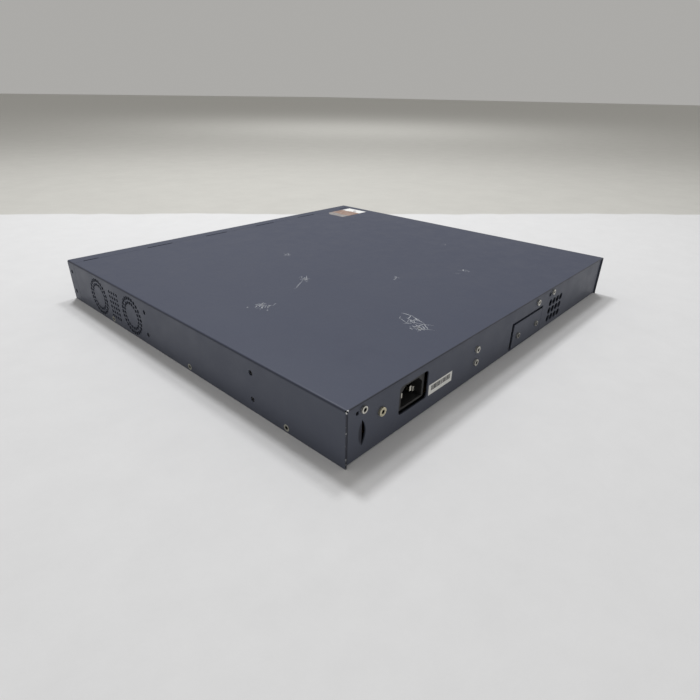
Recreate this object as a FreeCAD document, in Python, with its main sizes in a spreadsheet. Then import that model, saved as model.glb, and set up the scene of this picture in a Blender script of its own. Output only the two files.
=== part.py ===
# A one-unit rackmount network switch as a parametric FreeCAD document, in millimetres.
# Origin at the middle of the case's underside, +Z up, the port side towards -Y, the rear wall towards +Y.
# Each sub-part is one object of the document, sized from the spreadsheet, and is written to parts/.
import FreeCAD, Part
import math
import os
import re

import Sketcher

Vector = FreeCAD.Vector
Rotation = FreeCAD.Rotation

# The driving dimensions: each is written once here and lives in the spreadsheet.
SIZES = {
    # case
    "width": 440.0, "depth": 417.0, "height": 44.0,
    "cover_sheet": 1.0, "pan_sheet": 1.0, "frame_sheet": 1.2,
    "bend_radius": 1.8, "sheet_gap": 0.3, "seam_gap": 0.3, "frame_wrap": 16.0,
    "panel_inset": 1.5, "panel_end_gap": 2.0, "wall_setback": 10.0,
    # cover tabs under the front frame
    "tab_width": 32.0, "tab_share": 0.1805, "tab_reach": 7.0, "slit_depth": 1.8,
    "end_tab_width": 16.0, "end_tab_inset": 19.5,
    # rack-ear holes and side screws
    "ear_spacing": 22.2, "ear_middle": 21.6, "ear_hole": 4.3, "ear_front": 7.3,
    "ear_second": 169.0, "ear_third_inset": 93.0, "nut_bore": 3.4, "nut_outer": 7.0, "nut_length": 3.0,
    "side_screw_height": 3.9, "side_screw_first": 96.0, "side_screw_second": 237.6,
    "side_screw_inset": 56.0, "side_screw_head": 5.4, "screw_shank": 2.9, "screw_clearance": 0.15,
    # fans and the grilles over them
    "fan_size": 40.0, "fan_depth": 20.0, "fan_bore": 37.6, "fan_first": 70.8, "fan_second": 141.1,
    "fan_hub": 20.0, "fan_tip_gap": 0.7, "fan_blades": 7, "fan_blade_angle": 38.0,
    "fan_strut": 2.2, "fan_struts": 4, "hub_wall": 1.2, "hub_length": 15.0, "cup_gap": 0.6,
    "bearing_outer": 5.0, "bearing_length": 11.0, "blade_chord": 11.0, "blade_edge": 2.0,
    "blade_thickness": 1.3, "fan_shaft": 2.0, "shaft_clearance": 0.05, "fan_hole_pitch": 32.0,
    "fan_hole": 3.5,
    "ring_outer": 17.3, "ring_outer_hole": 3.9, "ring_outer_count": 24,
    "ring_inner": 12.8, "ring_inner_hole": 3.45, "ring_inner_count": 20,
    "grid_pitch_across": 5.1, "grid_pitch_up": 5.05, "grid_hole": 3.5, "grid_columns": 4, "grid_rows": 6,
    "intake_columns": 22, "intake_start": 52.0,
    # mains inlet, seen through its cut-out in the rear wall
    "inlet_place": 71.1, "inlet_middle": 24.3, "inlet_window_width": 33.8, "inlet_window_height": 23.1,
    "inlet_window_radius": 3.2, "inlet_recess": 2.1, "inlet_width": 29.3, "inlet_height": 20.0,
    "inlet_length": 24.0, "inlet_cavity_width": 24.5, "inlet_cavity_height": 16.3,
    "inlet_cavity_depth": 17.0, "inlet_cavity_chamfer": 4.6, "pin_width": 4.0, "pin_thickness": 2.0,
    "pin_pitch": 7.0, "pin_offset": 2.0, "pin_recess": 3.5, "earth_pin_recess": 1.2, "pin_tail": 5.0,
    "pin_room": 0.05, "inlet_corner": 1.6,
    # rear wall details
    "ground_place": 35.3, "ground_height": 26.4, "ground_head": 6.6,
    "corner_hole_place": 11.7, "corner_hole_height": 36.1, "corner_hole": 3.0,
    "small_head": 5.2, "head_height": 1.5, "rear_shank": 7.0, "side_shank": 6.0,
    "recess_depth": 1.1, "recess_width": 0.9, "recess_length": 2.8, "recess_eye": 0.95,
    "corner_screw_place": 17.2, "corner_screw_height": 36.8,
    "bracket_screw_place": 156.7, "bracket_screw_low": 15.2, "bracket_screw_high": 26.9,
    "bracket_head": 5.8, "upper_screw_place": 268.8, "upper_screw_height": 35.9,
    "vent_screw_place": 302.5, "vent_screw_height": 37.7,
    "vent_hole_place": 296.3, "vent_hole_height": 36.6, "vent_hole": 4.8,
    "vent_place": 301.6, "vent_height": 9.2, "vent_pitch_across": 8.35, "vent_pitch_up": 8.55,
    "vent_size": 7.3, "vent_columns": 4, "vent_rows": 3,
    "pull_place": 16.1, "pull_width": 3.9, "pull_low": 8.9, "pull_length": 20.5,
    "label_place": 89.8, "label_width": 30.9, "label_low": 13.1, "label_height": 8.7,
    "label_thickness": 0.1,
    # expansion slot
    "slot_left": 218.8, "slot_right": 283.0, "slot_low": 2.2, "slot_high": 29.0,
    "plate_left": 223.4, "plate_right": 282.6, "plate_low": 2.5, "plate_high": 26.4,
    "plate_screw_first": 233.1, "plate_screw_second": 271.4, "plate_screw_height": 13.6,
    "plate_flange": 10.0, "slot_length": 118.0, "slot_rail_height": 4.0, "slot_tab": 10.0, "slot_margin": 3.0,
    # boards
    "standoff": 6.0, "standoff_size": 6.0, "board": 1.6, "board_margin": 3.7, "board_inset": 160.0,
    "fan_room": 7.7,
    "board_front": 4.0, "board_rear_gap": 14.0, "board_hole": 3.2, "standoff_bore": 2.6,
    # ports
    "jack_columns": 6, "jack_pitch": 14.0, "jack_wall": 1.1, "jack_height": 25.4, "jack_length": 27.0,
    "jack_window_gap": 0.4, "plug_width": 11.9, "plug_height": 7.6, "plug_depth": 16.0,
    "latch_width": 6.0, "latch_height": 2.2, "jack_row_pitch": 11.0, "jack_sill": 3.4,
    "contact_length": 7.0, "contact_height": 1.2,
    "first_block": 37.7, "second_block": 127.7, "contact_width": 8.4,
    "cage_place": 218.2, "cage_count": 4, "cage_pitch": 14.5, "cage_wall": 0.5, "cage_height": 9.8,
    "cage_length": 48.0, "cage_connector": 11.0, "cage_floor": 0.5,
    "console_place": 5.7, "console_length": 18.0, "console_sill": 3.0, "console_width": 15.9,
    "console_height": 13.4,
    # mode button and status lamps
    "button_place": 26.5, "button_size": 5.0, "button_height": 14.0, "button_gap": 0.1, "button_stand": 1.0,
    "button_length": 5.0, "button_flange": 1.0, "plunger": 3.0, "plunger_length": 3.0,
    "switch_width": 7.0, "switch_length": 5.0, "switch_height": 9.0, "switch_gap": 1.5,
    "lamp_place": 33.1, "lamp_pitch": 4.2, "lamp_size": 2.4, "lamp_first": 14.0, "lamp_count": 3,
    "lamp_stand": 0.3, "lamp_length": 7.5, "stack_width": 5.0, "stack_length": 4.0, "stack_height": 17.0,
    # mains supply
    "wall_gap": 4.0, "supply_inset": 142.0, "supply_margin": 10.0, "supply_share": 0.5324,
    "partition_gap": 10.0,
    "partition_height": 38.0, "partition_sheet": 1.0, "partition_flange": 12.0,
    "partition_start": 40.0, "corner_relief": 1.5,
    "core_size": 34.0, "core_height": 24.0, "core_across": 18.0, "core_along": 66.0,
    "bulk_size": 22.0, "bulk_height": 25.0, "bulk_across": 90.0, "bulk_along": 68.0,
    "choke_size": 22.0, "choke_height": 12.0, "choke_across": 98.0, "choke_inset": 52.0,
    "filter_width": 26.0, "filter_depth": 12.0, "filter_height": 18.0, "filter_across": 18.0,
    "cooler_thickness": 3.0, "cooler_length": 76.0, "cooler_height": 24.0, "cooler_across": 66.0,
    "cooler_pitch": 50.0, "cooler_along": 40.0,
    "harness_along": 16.0, "plug_block": 10.0, "plug_block_length": 20.0, "wire_size": 1.8,
    "fan_plug": 6.0, "fan_wire": 1.2, "fan_lead_shift": 16.5,
    # main board
    "post_inset": 10.0, "post_pitch": 15.4, "board_screw_bite": 4.0,
    "sink_overhang": 12.0, "small_sink_overhang": 7.0,
    "can_count": 8, "can_left": 30.0, "can_pitch": 14.0, "can_front": 285.0, "can_size": 8.0,
    "can_height": 11.5, "connector_depth": 8.0, "connector_height": 9.0,
    "sticker_left": 13.0, "sticker_length": 54.0, "sticker_front": 23.5, "sticker_width": 36.0,
    "sticker_tear": 7.0,
    # chips and heat sinks
    "chip_thickness": 2.0, "sink_base": 3.0, "sink_height": 20.0, "small_sink_height": 14.0,
    "fin_thickness": 1.2,
    "fin_pitch": 4.4, "sticker_thickness": 0.1,
}

# Blocks in a row on the main board: how many, left of the first from the left wall, pitch,
# front from the front face, length across, length along, height.
BOARD_ROWS = {
    "port_magnetics": (6, 45.0, 28.0, 36.0, 16.0, 12.0, 6.0),
    "port_chips": (3, 62.0, 50.0, 58.0, 20.0, 20.0, 2.0),
    "switch_chip": (1, 118.0, 1.0, 108.0, 42.0, 42.0, 2.0),
    "processor_chip": (1, 222.0, 1.0, 112.0, 31.0, 31.0, 2.0),
    "memory_chips": (4, 40.0, 18.0, 205.0, 12.0, 10.0, 1.2),
    "power_coils": (5, 30.0, 24.0, 240.0, 13.0, 13.0, 8.0),
}
ROW_PARTS = ("count", "left", "pitch", "front", "across", "along", "height")
for row_name, numbers in BOARD_ROWS.items():
    SIZES.update({f"{row_name}_{part}": number for part, number in zip(ROW_PARTS, numbers)})

# Places and lengths worked out from the driving dimensions, as the expressions that bind them.
DERIVED = {
    "front_face": "-depth / 2",
    "tab_pitch": "tab_share * width",
    "end_tab_place": "width / 2 - end_tab_inset",
    "ear_third": "depth - ear_third_inset",
    "side_screw_third": "depth - side_screw_inset",
    "rear_end": "depth / 2",
    "panel_face": "rear_end - panel_inset",
    "panel_back": "panel_face - pan_sheet",
    "side_face": "width / 2",
    "cover_inside": "width / 2 - cover_sheet",
    "pan_side": "width / 2 - cover_sheet - sheet_gap",
    "pan_inside": "width / 2 - cover_sheet - sheet_gap - pan_sheet",
    "left_wall": "-(pan_inside)",
    "pan_top": "height - cover_sheet - sheet_gap",
    "cover_front": "front_face + frame_wrap + seam_gap",
    "plate_back": "front_face + frame_sheet",
    "pan_front": "plate_back + sheet_gap",
    "board_under": "pan_sheet + standoff",
    "board_top": "pan_sheet + standoff + board",
    "fan_middle": "pan_sheet + fan_size / 2",
    "fan_back": "pan_inside - fan_depth",
    "board_left": "left_wall + board_margin",
    "board_right": "side_face - board_inset",
    "board_right_front": "fan_back - fan_room",
    "board_wide_end": "supply_edge - standoff",
    "board_rear": "rear_end - board_rear_gap",
    "board_edge": "plate_back + board_front",
    "jack_width": "jack_columns * jack_pitch + 2 * jack_wall",
    "jack_mouth": "front_face + jack_window_gap",
    "inlet_mouth": "panel_face - inlet_recess",
    "supply_left": "side_face - supply_inset",
    "supply_right": "side_face - supply_margin",
    "partition": "supply_left - partition_gap",
    "slot_front": "rear_end - slot_length",
    "supply_top": "inlet_middle - inlet_height / 2",
    "supply_under": "inlet_middle - inlet_height / 2 - board",
    "supply_rear": "panel_back - wall_gap",
    "supply_edge": "rear_end - supply_share * depth",
    "cage_width": "cage_count * cage_pitch + cage_wall",
    "sink_foot": "board_top + chip_thickness",
}

NAMES = re.compile(r"[a-z][a-z_]+")
TURN_TO = {
    "x": Rotation(Vector(0, 0, 1), Vector(1, 0, 0)),
    "y": Rotation(Vector(0, 0, 1), Vector(0, 1, 0)),
    "z": Rotation(),
}
NUDGE = 0.01


def link(text):
    """Turn a formula over plain names into one over the spreadsheet's cells."""
    def cell(match):
        word = match.group(0)
        if word in DERIVED:
            return "(" + link(DERIVED[word]) + ")"
        return "Sizes." + word if word in SIZES else word
    return NAMES.sub(cell, str(text))


doc = FreeCAD.newDocument("network_switch")
sheet = doc.addObject("Spreadsheet::Sheet", "Sizes")
for row, (alias, number) in enumerate(SIZES.items(), start=1):
    sheet.set(f"A{row}", alias)
    sheet.set(f"B{row}", str(number))
    sheet.setAlias(f"B{row}", alias)
doc.recompute()


# ---------------------------------------------------------------- primitives

def place(thing, at):
    """Bind a primitive's position to three formulas."""
    for axis, formula in zip("xyz", at):
        thing.setExpression("Placement.Base." + axis, link(formula))
    return thing


def box(name, size, at):
    """A block of the given size whose lowest corner is at the given place."""
    block = doc.addObject("Part::Box", name)
    for side, formula in zip(("Length", "Width", "Height"), size):
        block.setExpression(side, link(formula))
    return place(block, at)


def rod(name, radius, length, at, axis="z"):
    """A cylinder that starts at the given place and runs along an axis."""
    pin = doc.addObject("Part::Cylinder", name)
    pin.Placement = FreeCAD.Placement(Vector(), TURN_TO[axis])
    pin.setExpression("Radius", link(radius))
    pin.setExpression("Height", link(length))
    return place(pin, at)


def cone(name, first, last, length, at, axis="z"):
    """A cone between two radii that starts at the given place and runs along an axis."""
    taper = doc.addObject("Part::Cone", name)
    taper.Placement = FreeCAD.Placement(Vector(), TURN_TO[axis])
    taper.setExpression("Radius1", link(first))
    taper.setExpression("Radius2", link(last))
    taper.setExpression("Height", link(length))
    return place(taper, at)


def fuse(name, pieces):
    """One solid made of several."""
    joined = doc.addObject("Part::MultiFuse", name)
    joined.Shapes = pieces
    return joined


def cut(name, base, tools):
    """A piece with each of the tools taken out of it."""
    tool = tools[0] if len(tools) == 1 else fuse(name + "_tools", tools)
    trimmed = doc.addObject("Part::Cut", name)
    trimmed.Base = base
    trimmed.Tool = tool
    return trimmed


def group(name, pieces):
    """Several separate solids that share one node."""
    several = doc.addObject("Part::Compound", name)
    several.Links = pieces
    return several


# ---------------------------------------------------------------- bodies and sketches

def new_body(name):
    body = doc.addObject("PartDesign::Body", name)
    body.Label = name
    return body


def sketch(body, name, plane, offset="0", centre=("0", "0")):
    """A sketch on one of the body's own planes, moved along its normal and in its own plane."""
    flat = body.newObject("Sketcher::SketchObject", name)
    flat.AttachmentSupport = [(next(f for f in body.Origin.OriginFeatures if f.Role == plane), "")]
    flat.MapMode = "FlatFace"
    flat.setExpression("AttachmentOffset.Base.x", link(centre[0]))
    flat.setExpression("AttachmentOffset.Base.y", link(centre[1]))
    flat.setExpression("AttachmentOffset.Base.z", link(offset))
    return flat


def bind(flat, constraint, formula):
    index = flat.addConstraint(constraint)
    flat.setExpression(f"Constraints[{index}]", link(formula))


def rectangle(flat, left, low, wide, high):
    """A rectangle bound by its low left corner and its two sides."""
    corners = [Vector(0, 0, 0), Vector(2, 0, 0), Vector(2, 1, 0), Vector(0, 1, 0)]
    first = flat.GeometryCount
    for index in range(4):
        flat.addGeometry(Part.LineSegment(corners[index], corners[(index + 1) % 4]), False)
    for index in range(4):
        flat.addConstraint(Sketcher.Constraint("Coincident", first + index, 2, first + (index + 1) % 4, 1))
    for index in (0, 2):
        flat.addConstraint(Sketcher.Constraint("Horizontal", first + index))
        flat.addConstraint(Sketcher.Constraint("Vertical", first + index + 1))
    bind(flat, Sketcher.Constraint("DistanceX", -1, 1, first, 1, 1.0), left)
    bind(flat, Sketcher.Constraint("DistanceY", -1, 1, first, 1, 1.0), low)
    bind(flat, Sketcher.Constraint("DistanceX", first, 1, first, 2, 2.0), wide)
    bind(flat, Sketcher.Constraint("DistanceY", first + 1, 1, first + 1, 2, 1.0), high)


def circle(flat, across, up, radius):
    """A circle bound by its centre and radius."""
    index = flat.addGeometry(Part.Circle(Vector(1, 1, 0), Vector(0, 0, 1), 1), False)
    bind(flat, Sketcher.Constraint("DistanceX", -1, 1, index, 3, 1.0), across)
    bind(flat, Sketcher.Constraint("DistanceY", -1, 1, index, 3, 1.0), up)
    bind(flat, Sketcher.Constraint("Radius", index, 1.0), radius)


def pad(body, flat, length, reverse=False):
    feature = body.newObject("PartDesign::Pad", flat.Name + "_pad")
    feature.Profile = flat
    feature.Reversed = reverse
    feature.setExpression("Length", link(length))
    body.Tip = feature
    return feature


def pocket(body, flat, length, reverse=False):
    """Cut a sketch into the body, and check that it took something away."""
    before = solid_volume(body)
    feature = body.newObject("PartDesign::Pocket", flat.Name + "_pocket")
    feature.Profile = flat
    feature.Reversed = reverse
    feature.setExpression("Length", link(length))
    body.Tip = feature
    if solid_volume(body) >= before - 1e-6:
        raise RuntimeError(f"{feature.Name} cuts nothing")
    return feature


def solid_volume(body):
    doc.recompute()
    return body.Shape.Volume


def polar(body, original, flat, count):
    """Repeat a feature all round a sketch's own normal."""
    pattern = body.newObject("PartDesign::PolarPattern", original.Name + "_ring")
    pattern.Originals = [original]
    pattern.Axis = (flat, ["N_Axis"])
    pattern.Angle = 360
    pattern.setExpression("Occurrences", link(count))
    body.Tip = pattern
    return pattern


def repeat_across(body, original, flat, count, pitch):
    """Repeat a feature along its sketch's own horizontal axis."""
    pattern = body.newObject("PartDesign::LinearPattern", original.Name + "_row")
    pattern.Originals = [original]
    pattern.Direction = (flat, ["H_Axis"])
    pattern.Mode = "Spacing"
    pattern.setExpression("Occurrences", link(count))
    pattern.setExpression("Offset", link(pitch))
    body.Tip = pattern


def hole_grid(body, flat, depth, radius, across, up):
    """Cut a grid of round holes from the sketch's own origin: across and up are (count, pitch)."""
    for index in range(int(value(up[0]))):
        circle(flat, "0", f"{index} * {up[1]}", radius)
    repeat_across(body, pocket(body, flat, depth), flat, *across)


def fillet(body, chosen, radius):
    """Round the edges of the body's last feature for which chosen(edge, box) is true."""
    doc.recompute()
    base = body.Tip
    limits = base.Shape.BoundBox
    names = [f"Edge{number}" for number, edge in enumerate(base.Shape.Edges, start=1) if chosen(edge, limits)]
    if not names:
        raise RuntimeError(f"no edge to round on {body.Label}")
    feature = body.newObject("PartDesign::Fillet", body.Name + "_round_" + base.Name)
    feature.Base = (base, names)
    feature.setExpression("Radius", link(radius))
    body.Tip = feature
    return feature


def near(first, second):
    return abs(first - second) < NUDGE


def runs_along(edge, axis):
    """True for a straight edge parallel to an axis."""
    if edge.Curve.TypeId != "Part::GeomLine":
        return False
    return abs(getattr(edge.tangentAt(edge.FirstParameter), axis)) > 0.999


# ---------------------------------------------------------------- sheet metal

EAR_ROWS = ("ear_middle - ear_spacing / 2", "ear_middle + ear_spacing / 2")
COVER_EARS = ("ear_second", "ear_third")
SIDE_SCREWS = ("side_screw_first", "side_screw_second", "side_screw_third")
FANS = {"front": "fan_first", "rear": "fan_second"}
INNER_TABS = ("-3 * tab_pitch / 2", "-tab_pitch / 2", "tab_pitch / 2", "3 * tab_pitch / 2")
SIDES = {"right": 1, "left": -1}


def tabs():
    """The middle and the width of each tab that the cover tucks under the front frame."""
    ends = [(f"{sign} * end_tab_place", "end_tab_width") for sign in (-1, 1)]
    return [(middle, "tab_width") for middle in INNER_TABS] + ends


def make_cover():
    """The U-shaped cover: a top and two side walls, with the fan grilles, the intake holes and the tabs."""
    body = new_body("cover_shell")
    outline = sketch(body, "cover_outline", "XZ_Plane", "-(cover_front)")
    rectangle(outline, "-width / 2", "0", "width", "height")
    pad(body, outline, "rear_end - (cover_front)", reverse=True)
    fillet(body, lambda e, b: runs_along(e, "y") and near(e.CenterOfMass.z, b.ZMax), "bend_radius")
    hollow = sketch(body, "cover_hollow", "XZ_Plane", "-(cover_front)")
    rectangle(hollow, "-(cover_inside)", "-1", "2 * (cover_inside)", "height - cover_sheet + 1")
    pocket(body, hollow, "depth")
    fillet(body, lambda e, b: runs_along(e, "y") and near(e.CenterOfMass.z, b.ZMax - value("cover_sheet"))
           and abs(e.CenterOfMass.x) < b.XMax - value("cover_sheet") / 2, "bend_radius - cover_sheet")
    step = sketch(body, "tab_step", "XY_Plane", "height - 2 * cover_sheet - sheet_gap")
    tongue = sketch(body, "tab_tongue", "XY_Plane", "height - 2 * cover_sheet - sheet_gap")
    for middle, wide in tabs():
        left = f"{middle} - {wide} / 2 + sheet_gap"
        rectangle(step, left, "cover_front", f"{wide} - 2 * sheet_gap", "2 * cover_sheet")
        rectangle(tongue, left, "cover_front - tab_reach", f"{wide} - 2 * sheet_gap",
                  "tab_reach + 2 * cover_sheet")
    pad(body, step, "cover_sheet + sheet_gap + cover_sheet / 2")
    pad(body, tongue, "cover_sheet")
    relief = sketch(body, "corner_relief_holes", "XZ_Plane", "-(rear_end)")
    for sign in (1, -1):
        circle(relief, f"{sign} * (side_face - cover_sheet)", "height - cover_sheet", "corner_relief / 2")
    pocket(body, relief, "2 * cover_sheet", reverse=True)
    cover_side_holes(body)
    sinks = [countersink(side, along, "screw_clearance") for side in SIDES for along in SIDE_SCREWS]
    return cut("cover", body, sinks)


def countersink(side, along, room):
    """The cone of a side screw's head, or with some room to spare its seat in the cover."""
    sign = SIDES[side]
    start = "side_face - cover_sheet" if sign > 0 else "-(side_face)"
    narrow, broad = f"screw_shank / 2 + {room}", f"side_screw_head / 2 + {room}"
    radii = (narrow, broad) if sign > 0 else (broad, narrow)
    return cone(f"{side}_{along}_cone", *radii, "cover_sheet",
                (start, f"front_face + {along}", "side_screw_height"), "x")


def cover_side_holes(body):
    """The holes in the cover's walls: both walls for the screws, one for the fans, one for the intake."""
    through = sketch(body, "ear_holes", "YZ_Plane", "-width")
    for place_along in COVER_EARS:
        for row in EAR_ROWS:
            circle(through, f"front_face + {place_along}", row, "ear_hole / 2")
    pocket(body, through, "2 * width", reverse=True)
    shanks = sketch(body, "side_screw_holes", "YZ_Plane", "-width")
    for place_along in SIDE_SCREWS:
        circle(shanks, f"front_face + {place_along}", "side_screw_height",
               "screw_shank / 2 + screw_clearance")
    pocket(body, shanks, "2 * width", reverse=True)
    for fan, along in FANS.items():
        for ring in ("outer", "inner"):
            flat = sketch(body, f"{fan}_{ring}_hole", "YZ_Plane", "side_face",
                          (f"front_face + {along}", "fan_middle"))
            circle(flat, "0", f"ring_{ring}", f"ring_{ring}_hole / 2")
            polar(body, pocket(body, flat, "2 * cover_sheet"), flat, f"ring_{ring}_count")
    middle = "front_face + (fan_first + fan_second) / 2 - (grid_columns - 1) * grid_pitch_across / 2"
    low = "fan_middle - (grid_rows - 1) * grid_pitch_up / 2"
    flat = sketch(body, "grille_hole", "YZ_Plane", "side_face", (middle, low))
    hole_grid(body, flat, "2 * cover_sheet", "grid_hole / 2",
              ("grid_columns", "grid_pitch_across"), ("grid_rows", "grid_pitch_up"))
    flat = sketch(body, "intake_hole", "YZ_Plane", "-(cover_inside)", ("front_face + intake_start", low))
    hole_grid(body, flat, "2 * cover_sheet", "grid_hole / 2",
              ("intake_columns", "grid_pitch_across"), ("grid_rows", "grid_pitch_up"))


def fan_corners(along):
    """The four mounting holes of the fan at this place along the case."""
    return [(f"front_face + {along} + {across} * fan_hole_pitch / 2",
             f"fan_middle + {up} * fan_hole_pitch / 2")
            for across in (-1, 1) for up in (-1, 1)]


def make_pan():
    """The base pan: a floor, two side walls and the rear wall, with every hole of the rear."""
    body = new_body("base_pan")
    floor = sketch(body, "pan_floor", "XY_Plane")
    rectangle(floor, "-(pan_side)", "pan_front", "2 * (pan_side)", "panel_face - (pan_front)")
    pad(body, floor, "pan_sheet")
    walls = sketch(body, "pan_walls", "XY_Plane")
    for left in ("-(pan_side)", "pan_inside"):
        rectangle(walls, left, "pan_front", "pan_sheet", "panel_face - wall_setback - (pan_front)")
    rectangle(walls, "-(cover_inside) + panel_end_gap", "panel_back",
              "2 * (cover_inside) - 2 * panel_end_gap", "pan_sheet")
    pad(body, walls, "pan_top")
    fillet(body, lambda e, b: runs_along(e, "x") and near(e.CenterOfMass.z, 0)
           and near(e.CenterOfMass.y, b.YMax), "bend_radius")
    pan_side_holes(body)
    pan_rear_holes(body)
    return body


def pan_side_holes(body):
    """Windows for the fans, the grille and the intake, and the seats of nuts and screws."""
    seats = sketch(body, "nut_seats", "YZ_Plane", "-width")
    for along in ("ear_front",) + COVER_EARS:
        for row in EAR_ROWS:
            circle(seats, f"front_face + {along}", row, "nut_outer / 2 - 1 + screw_clearance")
    for along in SIDE_SCREWS:
        circle(seats, f"front_face + {along}", "side_screw_height", "screw_shank / 2 + screw_clearance")
    pocket(body, seats, "2 * width", reverse=True)
    flow = sketch(body, "fan_windows", "YZ_Plane", "pan_side")
    for along in FANS.values():
        circle(flow, f"front_face + {along}", "fan_middle", "fan_bore / 2")
        for across, up in fan_corners(along):
            circle(flow, across, up, "screw_shank / 2 + screw_clearance")
    rectangle(flow, "front_face + (fan_first + fan_second) / 2 - 2 * grid_pitch_across",
              "fan_middle - 3 * grid_pitch_up", "4 * grid_pitch_across", "6 * grid_pitch_up")
    pocket(body, flow, "2 * pan_sheet")
    intake = sketch(body, "intake_window", "YZ_Plane", "-(pan_inside)")
    rectangle(intake, "front_face + intake_start - grid_pitch_across", "fan_middle - 3 * grid_pitch_up",
              "(intake_columns + 1) * grid_pitch_across", "6 * grid_pitch_up")
    pocket(body, intake, "2 * pan_sheet")


def rear_circle(flat, along, up, radius):
    """A circle on the rear wall, its place given from the right-hand end of the case."""
    circle(flat, f"side_face - {along}", up, radius)


REAR_SCREWS = {
    "corner": ("corner_screw_place", "corner_screw_height", "small_head"),
    "bracket_low": ("bracket_screw_place", "bracket_screw_low", "bracket_head"),
    "bracket_high": ("bracket_screw_place", "bracket_screw_high", "bracket_head"),
    "upper": ("upper_screw_place", "upper_screw_height", "bracket_head"),
    "vent": ("vent_screw_place", "vent_screw_height", "small_head"),
    "ground": ("ground_place", "ground_height", "ground_head"),
}


def pan_rear_holes(body):
    """The rear wall's windows and holes: inlet, slot, vents, screws and the half-moon pull."""
    cut_depth = "4 * pan_sheet"
    windows = sketch(body, "inlet_window", "XZ_Plane", "-(panel_back) + pan_sheet")
    rectangle(windows, "side_face - inlet_place - inlet_window_width / 2",
              "inlet_middle - inlet_window_height / 2", "inlet_window_width", "inlet_window_height")
    pocket(body, windows, cut_depth)
    fillet(body, is_window_corner, "inlet_window_radius")
    slot = sketch(body, "slot_window", "XZ_Plane", "-(panel_back) + pan_sheet")
    rectangle(slot, "side_face - slot_right", "slot_low", "slot_right - slot_left", "slot_high - slot_low")
    pocket(body, slot, cut_depth)
    holes = sketch(body, "rear_holes", "XZ_Plane", "-(panel_back) + pan_sheet")
    for along, up, _ in REAR_SCREWS.values():
        rear_circle(holes, along, up, "screw_shank / 2 + screw_clearance")
    rear_circle(holes, "corner_hole_place", "corner_hole_height", "corner_hole / 2")
    rear_circle(holes, "vent_hole_place", "vent_hole_height", "vent_hole / 2")
    pocket(body, holes, cut_depth)
    vent = sketch(body, "rear_vent", "XZ_Plane", "-(panel_back) + pan_sheet",
                  ("side_face - vent_place - (vent_columns - 1) * vent_pitch_across", "vent_height"))
    hole_grid(body, vent, cut_depth, "vent_size / 2",
              ("vent_columns", "vent_pitch_across"), ("vent_rows", "vent_pitch_up"))
    pull = sketch(body, "half_moon", "XZ_Plane", "-(panel_back) + pan_sheet",
                  ("side_face - pull_place", "pull_low"))
    half_moon(pull)
    pocket(body, pull, cut_depth)


def is_window_corner(edge, limits):
    """The four short edges at the corners of the inlet's window."""
    if not runs_along(edge, "y") or not near(edge.Length, value("pan_sheet")):
        return False
    across = abs(edge.CenterOfMass.x - (value("width") / 2 - value("inlet_place")))
    up = abs(edge.CenterOfMass.z - value("inlet_middle"))
    return near(across, value("inlet_window_width") / 2) and near(up, value("inlet_window_height") / 2)


def half_moon(flat):
    """A half-moon outline: an upright chord and an arc that bulges away from it by pull_width."""
    top = Vector(0, 18, 0)
    chord = flat.addGeometry(Part.LineSegment(top, Vector(0, 0, 0)), False)
    bow = flat.addGeometry(Part.Arc(top, Vector(-4, 9, 0), Vector(0, 0, 0)), False)
    flat.addConstraint(Sketcher.Constraint("Coincident", chord, 1, bow, 1))
    flat.addConstraint(Sketcher.Constraint("Coincident", chord, 2, bow, 2))
    flat.addConstraint(Sketcher.Constraint("Coincident", chord, 2, -1, 1))
    flat.addConstraint(Sketcher.Constraint("Vertical", chord))
    bind(flat, Sketcher.Constraint("DistanceY", chord, 2, chord, 1, 18.0), "pull_length")
    bind(flat, Sketcher.Constraint("Radius", bow, 13.0),
         "(pull_length * pull_length / 4 + pull_width * pull_width) / (2 * pull_width)")


def value(name):
    """A driving dimension as the spreadsheet holds it."""
    return float(getattr(sheet, name))


def make_front_frame():
    """The front frame: the port plate with its windows, wrapped back over the top and the sides."""
    body = new_body("front_frame")
    outline = sketch(body, "frame_outline", "XZ_Plane", "-(front_face)")
    rectangle(outline, "-width / 2", "0", "width", "height")
    pad(body, outline, "frame_wrap", reverse=True)
    fillet(body, lambda e, b: runs_along(e, "y") and near(e.CenterOfMass.z, b.ZMax), "bend_radius")
    hollow = sketch(body, "frame_hollow", "XZ_Plane", "-(plate_back)")
    rectangle(hollow, "-width / 2 + frame_sheet", "-1", "width - 2 * frame_sheet", "height - frame_sheet + 1")
    pocket(body, hollow, "depth")
    slits = sketch(body, "frame_slits", "XY_Plane", "height + 1")
    for middle, wide in tabs():
        rectangle(slits, f"{middle} - {wide} / 2", "front_face + frame_wrap - slit_depth", wide,
                  "2 * slit_depth")
    pocket(body, slits, "2 * frame_sheet + 1")
    ears = sketch(body, "frame_ears", "YZ_Plane", "-width")
    for row in EAR_ROWS:
        circle(ears, "front_face + ear_front", row, "ear_hole / 2")
    pocket(body, ears, "2 * width", reverse=True)
    windows = sketch(body, "port_windows", "XZ_Plane", "-(front_face) + frame_sheet")
    for left, low, wide, high in port_windows():
        rectangle(windows, f"{left} - jack_window_gap", f"{low} - jack_window_gap",
                  f"{wide} + 2 * jack_window_gap", f"{high} + 2 * jack_window_gap")
    rectangle(windows, "left_wall + button_place - button_size / 2 - button_gap",
              "button_height - button_size / 2 - button_gap", "button_size + 2 * button_gap",
              "button_size + 2 * button_gap")
    for index in range(SIZES["lamp_count"]):
        circle(windows, "left_wall + lamp_place", f"lamp_first + {index} * lamp_pitch",
               "lamp_size / 2 + button_gap")
    pocket(body, windows, "3 * frame_sheet")
    return body


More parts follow.
